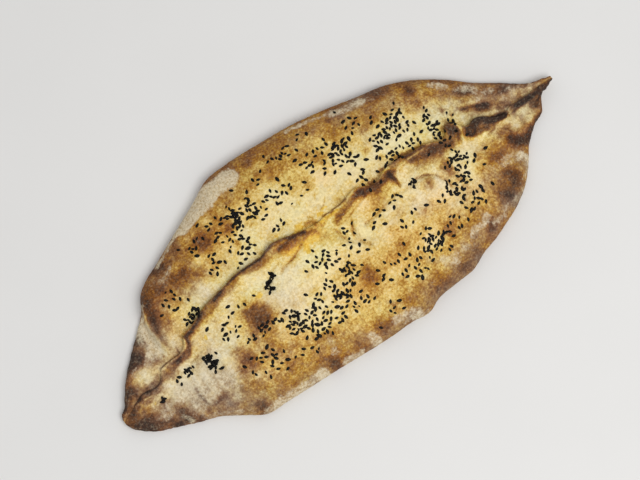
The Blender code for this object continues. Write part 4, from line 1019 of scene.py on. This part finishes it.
def baked_crust(settings):
    """Oven-baked wheat dough: a matt skin, pale where it stayed soft and golden to charred where it rose.

    It is mottled at the size of its pores. Dry flour lies on it in patches, and it is glossy only where oil
    came through.
    """
    material, tree, shader, place = new_material("baked_crust")
    grain = {}
    for name, (size, detail, roughness) in CRUST_GRAINS.items():
        inputs = {"Vector": place, "Scale": 1 / (size * MM), "Detail": detail, "Roughness": roughness}
        raw = add_node(tree, "ShaderNodeTexNoise", {}, inputs)
        grain[name] = add_node(tree, "ShaderNodeMath", SUBTRACT, {0: raw, 1: 0.5})
    painted = {}
    for name in PAINTED:
        painted[name] = add_node(tree, "ShaderNodeAttribute", {"attribute_name": name}, output="Fac")

    # The bake is mottled at three sizes: blotches, pores and freckles. Flour and dryness calm it.
    dull = add_node(tree, "ShaderNodeMath", ADD, {0: painted["flour"], 1: painted["dry"]})
    calm = add_node(tree, "ShaderNodeMath", MULTIPLY_ADD, {0: dull, 1: COVER_CALMS, 2: BARE_MOTTLING})
    # The painted bake also holds painted shade in creases, hollows and under the lip,
    # and painted highlights on lit ridges.
    baked = painted["baked"]
    for name, strength in BAKE_MOTTLING.items():
        swing = add_node(tree, "ShaderNodeMath", MULTIPLY, {0: grain[name], 1: calm})
        baked = add_node(tree, "ShaderNodeMath", MULTIPLY_ADD, {0: swing, 1: strength, 2: baked})
    colour = add_node(tree, "ShaderNodeValToRGB", {}, {"Fac": baked})
    elements = colour.node.color_ramp.elements
    while len(elements) < len(BAKE_STOPS):
        elements.new(0.5)
    for element, (name, position) in zip(elements, BAKE_STOPS.items()):
        element.position = position
        element.color = getattr(settings, name)

    # It blushes redder in some places than in others. Where no oil ran, it is dry and greyer.
    # Dark creases are greyer too, as painted shade.
    blush = {0: painted["ruddy"], 6: settings.yellowish, 7: settings.ruddy}
    blush = add_node(tree, "ShaderNodeMix", COLOURS, blush, 2)
    colour = add_node(tree, "ShaderNodeMix", COLOURS_MULTIPLIED, {0: 1.0, 6: colour, 7: blush}, 2)
    grey = add_node(tree, "ShaderNodeRGBToBW", {}, {"Color": colour})
    greyness = add_node(tree, "ShaderNodeMath", MULTIPLY, {0: painted["dry"], 1: DRY_IS_GREY})
    colour = add_node(tree, "ShaderNodeMix", COLOURS, {0: greyness, 6: colour, 7: grey}, 2)
    oily = {0: grain["pore"], 1: OIL_MOTTLING, 2: painted["cheese"]}
    oily = add_node(tree, "ShaderNodeMath", MULTIPLY_ADD, oily)
    cheese = add_node(tree, "ShaderNodeMapRange", SMOOTHLY, {"Value": oily, **OIL_SHOWS})
    cheesy = {0: cheese, 6: colour, 7: settings.cheese}
    colour = add_node(tree, "ShaderNodeMix", COLOURS_MULTIPLIED, cheesy, 2)

    # A little flour is left in the pores of the browned dough, and whole patches of it near the edges.
    thick = add_node(tree, "ShaderNodeMapRange", SMOOTHLY, {"Value": grain["flour"], **FLOUR_THICKENS})
    flour = {0: thick, 6: settings.flour_shade, 7: settings.flour}
    flour = add_node(tree, "ShaderNodeMix", COLOURS, flour, 2)
    specks = add_node(tree, "ShaderNodeMapRange", SMOOTHLY, {"Value": grain["flour"], **FLOUR_SPECKS})
    browned = add_node(tree, "ShaderNodeMapRange", SMOOTHLY, {"Value": baked, **BROWN_STARTS})
    dusting = add_node(tree, "ShaderNodeMath", MULTIPLY, {0: specks, 1: browned})
    colour = add_node(tree, "ShaderNodeMix", COLOURS, {0: dusting, 6: colour, 7: settings.flour}, 2)
    veil = painted["flour"]
    for name, strength in VEIL_MOTTLING.items():
        veil = add_node(tree, "ShaderNodeMath", MULTIPLY_ADD, {0: grain[name], 1: strength, 2: veil})
    veil = add_node(tree, "ShaderNodeMapRange", SMOOTHLY, {"Value": veil, **FLOUR_COVERS})
    colour = add_node(tree, "ShaderNodeMix", COLOURS, {0: veil, 6: colour, 7: flour}, 2)

    # The skin's own grain is finer than the picture shows, so it is drawn as coarse as it needs to show.
    skin = {0: grain["skin"], 1: SKIN_STRENGTH, 2: SKIN_BRIGHTNESS}
    skin = add_node(tree, "ShaderNodeMath", MULTIPLY_ADD, skin)
    colour = add_node(tree, "ShaderNodeMix", COLOURS_MULTIPLIED, {0: 1.0, 6: colour, 7: skin}, 2)
    tree.links.new(colour, shader.inputs["Base Color"])

    rough = {"Value": cheese, "To Min": settings.roughness, "To Max": OILY_ROUGHNESS}
    tree.links.new(add_node(tree, "ShaderNodeMapRange", {}, rough), shader.inputs["Roughness"])
    shader.inputs["Specular IOR Level"].default_value = CRUST_SPECULAR

    pores = {0: grain["fine pit"], 1: FINE_PITS, 2: grain["pit"]}
    pores = add_node(tree, "ShaderNodeMath", MULTIPLY_ADD, pores)
    bump = {"Height": pores, "Strength": settings.pore_strength, "Distance": settings.pore_depth}
    tree.links.new(add_node(tree, "ShaderNodeBump", {}, bump), shader.inputs["Normal"])
    return material


def sesame_husk(settings):
    """Dry black sesame husk: almost black, finely ribbed, with a faint satin shine."""
    material, tree, shader, place = new_material("black_sesame_husk")
    tint(tree, shader, place, HUSK_CLOUDS, settings.husk, settings.husk_worn)
    shader.inputs["Roughness"].default_value = HUSK_ROUGHNESS
    shader.inputs["Specular IOR Level"].default_value = HUSK_SPECULAR
    ribs = {"Vector": place, "Scale": 1 / (HUSK_RIBS * MM), "Detail": 2}
    ribs = add_node(tree, "ShaderNodeTexNoise", {}, ribs)
    bump = {"Height": ribs, "Strength": HUSK_RIB_STRENGTH, "Distance": HUSK_RIB_DEPTH * MM}
    tree.links.new(add_node(tree, "ShaderNodeBump", {}, bump), shader.inputs["Normal"])
    return material


def matt_paint(settings):
    """Matt white-painted board, as in a studio: even, pale and without shine."""
    material, tree, shader, place = new_material("matt_painted_board")
    tint(tree, shader, place, PAINT_CLOUDS, settings.floor, settings.floor_shade)
    shader.inputs["Roughness"].default_value = PAINT_ROUGHNESS
    return material


def link_new_object(name, data):
    """A new object with this data, in the scene."""
    item = bpy.data.objects.new(name, data)
    bpy.context.scene.collection.objects.link(item)
    return item


def fitted(values, low, high):
    """The values, moved and stretched alike, so that they run from low to high."""
    return low + (values - values.min()) * (high - low) / (values.max() - values.min())


def mesh_of_rings(name, x, y, z):
    """One closed mesh of the rings' points in mm, joined ring to ring, with the two end rings filled."""
    rings, around = x.shape
    mesh = bpy.data.meshes.new(name)
    points = np.stack([x, y, z], axis=-1).reshape(-1, 3) * MM
    first = np.arange(rings - 1)[:, None] * around
    here = first + np.arange(around)[None, :]
    beside = first + (np.arange(around)[None, :] + 1) % around
    quads = np.stack([here, here + around, beside + around, beside], axis=-1).reshape(-1, 4)
    left_end = list(range(around))
    right_end = list(range((rings - 1) * around, rings * around))[::-1]
    mesh.from_pydata(points.tolist(), [], quads.tolist() + [left_end, right_end])
    mesh.validate()
    return mesh


def paint_attribute(mesh, name, values):
    """Stores one number at each vertex, for a material or a node tree to read."""
    layer = mesh.attributes.new(name, "FLOAT", "POINT")
    layer.data.foreach_set("value", np.ascontiguousarray(values, np.float32).ravel())


def sprinkled_places():
    """(x, y, turn, size) of each seed in mm and radians, taking one from every pinch in turn.

    The seeds of a pinch keep clear of each other as far as its area lets them, so a tight one stays a pile.
    """
    draw = random.Random(SPRINKLE_SEED)
    places = []
    for i in range(max(count for *_, count in PINCHES)):
        for middle_x, middle_y, spread_x, spread_y, count in map(settled, PINCHES):
            if i >= count:
                continue
            clear = min(SEED_CLEARANCE, PILE_ROOM * math.sqrt(spread_x * spread_y / count))
            for _ in range(TRIES_PER_SEED):
                x = middle_x + draw.gauss(0, PINCH_SCATTER) * spread_x
                y = middle_y + draw.gauss(0, PINCH_SCATTER) * spread_y
                if all(math.hypot(x - ox, y - oy) > clear for ox, oy, _, _ in places):
                    break
            places.append((x, y, draw.uniform(0, math.tau), draw.gauss(1, SEED_SIZE_SPREAD)))
    return places


def piled(places):
    """How many earlier seeds each seed lies on, up to PILE_LAYERS."""
    layers = []
    for i, (x, y, _, _) in enumerate(places):
        below = sum(math.hypot(x - ox, y - oy) < SEED_TOUCH for ox, oy, _, _ in places[:i])
        layers.append(min(below, PILE_LAYERS))
    return layers


def seed_tree():
    """Geometry Nodes that drop each point onto the crust and put a seed there, turned to its slope."""
    tree = bpy.data.node_groups.new("seeds_on_crust", "GeometryNodeTree")
    for name, kind in SEED_TREE_INPUTS.items():
        tree.interface.new_socket(name=name, in_out="INPUT", socket_type=kind)
    tree.interface.new_socket(name="Seeds", in_out="OUTPUT", socket_type="NodeSocketGeometry")
    given = tree.nodes.new("NodeGroupInput").outputs
    stored = {
        name: add_node(tree, "GeometryNodeInputNamedAttribute", {"data_type": "FLOAT"}, {"Name": name})
        for name in ("turn", "size", "rise")
    }

    # One seed: a ball, drawn out along X and narrowed towards +X.
    ball = add_node(tree, "GeometryNodeMeshIcoSphere", {}, {"Radius": 0.5, "Subdivisions": 2})
    at = add_node(tree, "GeometryNodeInputPosition")
    along = add_node(tree, "ShaderNodeSeparateXYZ", {}, {"Vector": at}, "X")
    forward = add_node(tree, "ShaderNodeMath", {"operation": "MAXIMUM"}, {0: along, 1: 0.0})
    narrow = add_node(tree, "ShaderNodeMath", MULTIPLY_ADD, {0: forward, 1: -SEED_TAPER, 2: 1.0})
    width = add_node(tree, "ShaderNodeMath", MULTIPLY, {0: narrow, 1: given["Width"]})
    thickness = add_node(tree, "ShaderNodeMath", MULTIPLY, {0: narrow, 1: given["Thickness"]})
    size = add_node(tree, "ShaderNodeCombineXYZ", {}, {"X": given["Length"], "Y": width, "Z": thickness})
    drop = add_node(tree, "ShaderNodeVectorMath", MULTIPLY, {0: at, 1: size})
    seed = add_node(tree, "GeometryNodeSetPosition", {}, {"Geometry": ball, "Position": drop})

    # Where it falls and how it lies.
    crust = {"Object": given["Crust"]}
    crust = add_node(tree, "GeometryNodeObjectInfo", {"transform_space": "RELATIVE"}, crust, "Geometry")
    ray = {"Target Geometry": crust, "Ray Direction": (0, 0, -1), "Ray Length": 1.0}
    hit = add_node(tree, "GeometryNodeRaycast", {}, ray).node.outputs
    leaning = add_node(
        tree, "FunctionNodeAlignRotationToVector", {"axis": "Z"}, {"Vector": hit["Hit Normal"]}
    )
    spin = {"Axis": (0, 0, 1), "Angle": stored["turn"]}
    spin = add_node(tree, "FunctionNodeAxisAngleToRotation", {}, spin)
    turned = {"Rotation": leaning, "Rotate By": spin}
    turned = add_node(tree, "FunctionNodeRotateRotation", {"rotation_space": "LOCAL"}, turned)
    points = add_node(tree, "GeometryNodeMeshToPoints", {}, {"Mesh": given["Places"]})
    placed = {"Points": points, "Instance": seed, "Rotation": turned, "Scale": stored["size"]}
    placed = add_node(tree, "GeometryNodeInstanceOnPoints", {}, placed)
    rise = add_node(tree, "ShaderNodeMath", SUBTRACT, {0: stored["rise"], 1: given["Sunk"]})
    rise = add_node(tree, "ShaderNodeCombineXYZ", {}, {"Z": rise})
    landed = add_node(tree, "ShaderNodeVectorMath", ADD, {0: hit["Hit Position"], 1: rise})
    landed = {"Geometry": placed, "Selection": hit["Is Hit"], "Position": landed}
    landed = add_node(tree, "GeometryNodeSetPosition", {}, landed)
    solid = add_node(tree, "GeometryNodeRealizeInstances", {}, {"Geometry": landed})
    smooth = add_node(tree, "GeometryNodeSetShadeSmooth", {}, {"Geometry": solid})
    finished = {"Geometry": smooth, "Material": given["Husk"]}
    finished = add_node(tree, "GeometryNodeSetMaterial", {}, finished)
    tree.links.new(finished, tree.nodes.new("NodeGroupOutput").inputs["Seeds"])
    return tree


def set_tree_input(modifier, name, value):
    """Sets a modifier's input by the identifier of the socket with this name."""
    for item in modifier.node_group.interface.items_tree:
        if item.item_type == "SOCKET" and item.in_out == "INPUT" and item.name == name:
            modifier[item.identifier] = value
            return
    raise KeyError(name)


def make_plain(item, name):
    """Replaces an object's mesh by a plain one of what its modifiers make, and removes them."""
    graph = bpy.context.evaluated_depsgraph_get()
    mesh = bpy.data.meshes.new_from_object(item.evaluated_get(graph))
    mesh.name = name
    item.modifiers.clear()
    item.data = mesh


class CALZONE_PG_crust(bpy.types.PropertyGroup):
    """Fineness and colours of the crust"""

    rings: IntProperty(name="Rings", description="Rings of points from tip to tip", default=380, min=60)
    around: IntProperty(name="Points around", description="Points in each ring", default=206, min=60)
    bubbles: IntProperty(name="Bubbles", description="Small bubbles in the crust", default=420, min=0)
    pore_depth: length_property("Pore depth", "Height of the finest roughness", 0.35)
    pore_strength: share_property("Pore strength", "How sharply pores show", 0.55)
    roughness: share_property("Roughness", "Roughness of the dry crust", 0.82)
    crumb: colour_property("Pale dough", "Where the dough stayed soft", "#f3e2ac")
    straw: colour_property("Straw", "Where it has just coloured", "#e1c370")
    golden: colour_property("Golden", "Where it is well baked", "#b38331")
    brown: colour_property("Brown", "Where it is dark", "#8d5922")
    deep_brown: colour_property("Deep brown", "Where it has nearly burnt", "#683f1d")
    char: colour_property("Char", "Where it has burnt", "#3f2a1f")
    yellowish: colour_property("Yellowish tint", "Over the least ruddy crust", "#f8fff8")
    ruddy: colour_property("Ruddy tint", "Over the ruddiest crust", "#fff1e8")
    flour: colour_property("Flour", "Dry bench flour over the crust", "#e2d4b5")
    flour_shade: colour_property("Flour shade", "The crust seen through thin flour", "#bda57c")
    cheese: colour_property("Cheese and oil", "Tint of what came through from the filling", "#ffec96")


class CALZONE_PG_seeds(bpy.types.PropertyGroup):
    """Size and colour of the seeds"""

    length: length_property("Length", "Length of a seed", 3.6)
    width: length_property("Width", "Width of a seed", 2.15)
    thickness: length_property("Thickness", "Thickness of a seed", 1.2)
    sunk: length_property("Sunk", "How deep a seed's middle lies under the crust", 0.0)
    pile_height: length_property("Pile height", "How much higher a seed lies on another", 0.45)
    husk: colour_property("Husk", "Colour of the seeds", "#080605")
    husk_worn: colour_property("Worn husk", "Paler places on the seeds", "#120f0c")


class CALZONE_PG_stage(bpy.types.PropertyGroup):
    """Floor, light and camera"""

    floor_size: length_property("Floor", "Length of the floor's side", 4000)
    floor: colour_property("Floor colour", "Pale floor", "#e4e3e1")
    floor_shade: colour_property("Floor shade", "Slightly darker places on the floor", "#e0dfdd")
    surround: FloatProperty(name="Surround", description="Strength of the even light", default=0.58, min=0)
    key_power: FloatProperty(name="Key light", description="Power of the lamp", default=15.5, unit="POWER")
    key_size: length_property("Lamp size", "Side of the large lamp", 900)
    azimuth: angle_property("Azimuth", "Turn of the camera", -38)
    elevation: angle_property("Elevation", "Camera above the horizon", 82.2)
    distance: length_property("Distance", "From the camera to the calzone", 1500)
    frame_width: length_property("Frame width", "Width of what the camera sees at the calzone", 458.8)
    aim_x: length_property("Aim along", "Middle of the picture, along the calzone", -7.1, least=-1000)
    aim_y: length_property("Aim across", "Middle of the picture, across the calzone", 2.7, least=-1000)


class CALZONE_OT_bake_crust(bpy.types.Operator):
    """Bake the crust: the folded dough with its seam, tails, blisters and creases"""

    bl_idname = "calzone.bake_crust"
    bl_label = "Bake crust"

    def execute(self, context):
        settings = context.scene.calzone_crust
        bubbles = bubble_places(settings.bubbles)
        x, y, z, under = crust_points(settings.rings, settings.around, bubbles)
        low, high = (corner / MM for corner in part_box(NODE))
        fit = fitted(x, low.x, high.x), fitted(y, low.y, high.y), fitted(z, low.z, high.z - TOP_SEEDS)
        mesh = mesh_of_rings("crust", *fit)
        flour = flouring(x, y, under)
        # The bake also carries painted shade and painted highlights.
        paint_attribute(mesh, "baked", browning(x, y, under, bubbles))
        paint_attribute(mesh, "flour", flour)
        paint_attribute(mesh, "dry", drying(x, y, flour))
        paint_attribute(mesh, "ruddy", blushing(x, y))
        paint_attribute(mesh, "cheese", np.clip(patches(x, y, CHEESY), 0, 1) * (1 - under))
        mesh.shade_smooth()
        mesh.materials.append(baked_crust(settings))
        crust = link_new_object("crust", mesh)
        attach(crust, BODY)
        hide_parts(NODE)
        return {"FINISHED"}


class CALZONE_OT_sprinkle_seeds(bpy.types.Operator):
    """Sprinkle black sesame on the crust, in pinches"""

    bl_idname = "calzone.sprinkle_seeds"
    bl_label = "Sprinkle seeds"

    def execute(self, context):
        settings = context.scene.calzone_seeds
        places = sprinkled_places()
        mesh = bpy.data.meshes.new("black_sesame")
        mesh.from_pydata([(x * MM, y * MM, DROP_HEIGHT * MM) for x, y, _, _ in places], [], [])
        paint_attribute(mesh, "turn", [turn for _, _, turn, _ in places])
        paint_attribute(mesh, "size", [size for _, _, _, size in places])
        paint_attribute(mesh, "rise", [layer * settings.pile_height for layer in piled(places)])
        seeds = link_new_object("black_sesame", mesh)
        modifier = seeds.modifiers.new("seeds_on_crust", "NODES")
        modifier.node_group = seed_tree()
        set_tree_input(modifier, "Crust", bpy.data.objects["crust"])
        set_tree_input(modifier, "Husk", sesame_husk(settings))
        for name in ("Length", "Width", "Thickness", "Sunk"):
            set_tree_input(modifier, name, getattr(settings, name.lower()))
        make_plain(seeds, "black_sesame")
        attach(seeds, BODY)
        return {"FINISHED"}


class CALZONE_OT_set_stage(bpy.types.Operator):
    """Lay the floor and set the lights and the camera"""

    bl_idname = "calzone.set_stage"
    bl_label = "Set stage"

    def execute(self, context):
        settings = context.scene.calzone_stage
        self.lay_floor(settings)
        self.light(context.scene, settings)
        self.aim_camera(context.scene, settings)
        return {"FINISHED"}

    def lay_floor(self, settings):
        half = settings.floor_size / 2
        mesh = bpy.data.meshes.new("floor")
        corners = [(-half, -half, 0), (half, -half, 0), (half, half, 0), (-half, half, 0)]
        mesh.from_pydata(corners, [], [(0, 1, 2, 3)])
        mesh.materials.append(matt_paint(settings))
        floor = link_new_object("floor", mesh)
        floor.location.z = CAD_LOW.z - FLOOR_GAP * MM

    def light(self, scene, settings):
        world = bpy.data.worlds.new("studio")
        world.use_nodes = True
        surround = world.node_tree.nodes["Background"]
        surround.inputs["Color"].default_value = linear("#ffffff")
        surround.inputs["Strength"].default_value = settings.surround
        scene.world = world
        lamp = bpy.data.lights.new("key", "AREA")
        lamp.shape = "SQUARE"
        lamp.size = settings.key_size
        lamp.energy = settings.key_power
        key = link_new_object("key", lamp)
        key.location = Vector(KEY_PLACE) * MM
        key.rotation_euler = (-key.location).to_track_quat("-Z", "Y").to_euler()
        scene.view_settings.view_transform = "Standard"

    def aim_camera(self, scene, settings):
        data = bpy.data.cameras.new("camera")
        data.lens = data.sensor_width * settings.distance / settings.frame_width
        camera = link_new_object("camera", data)
        level = math.cos(settings.elevation)
        across, along = math.sin(settings.azimuth) * level, -math.cos(settings.azimuth) * level
        back = Vector((across, along, math.sin(settings.elevation)))
        camera.location = Vector((settings.aim_x, settings.aim_y, 0)) + back * settings.distance
        camera.rotation_euler = (-back).to_track_quat("-Z", "Y").to_euler()
        scene.camera = camera


class CALZONE_PT_panel(bpy.types.Panel):
    """Lists the calzone's pieces"""

    bl_idname = "CALZONE_PT_panel"
    bl_label = "Calzone"
    bl_space_type = "VIEW_3D"
    bl_region_type = "UI"
    bl_category = "Calzone"

    def draw(self, context):
        for operator in OPERATORS:
            self.layout.operator(operator.bl_idname)


GROUPS = {
    "calzone_crust": CALZONE_PG_crust,
    "calzone_seeds": CALZONE_PG_seeds,
    "calzone_stage": CALZONE_PG_stage,
}
OPERATORS = (CALZONE_OT_bake_crust, CALZONE_OT_sprinkle_seeds, CALZONE_OT_set_stage)


def register():
    for group in GROUPS.values():
        bpy.utils.register_class(group)
    for name, group in GROUPS.items():
        setattr(bpy.types.Scene, name, PointerProperty(type=group))
    for item in (*OPERATORS, CALZONE_PT_panel):
        bpy.utils.register_class(item)


def unregister():
    for item in (CALZONE_PT_panel, *reversed(OPERATORS)):
        bpy.utils.unregister_class(item)
    for name in GROUPS:
        delattr(bpy.types.Scene, name)
    for group in reversed(GROUPS.values()):
        bpy.utils.unregister_class(group)


def main():
    register()
    bpy.ops.calzone.bake_crust()
    bpy.ops.calzone.sprinkle_seeds()
    bpy.ops.calzone.set_stage()


if __name__ == "__main__":
    main()
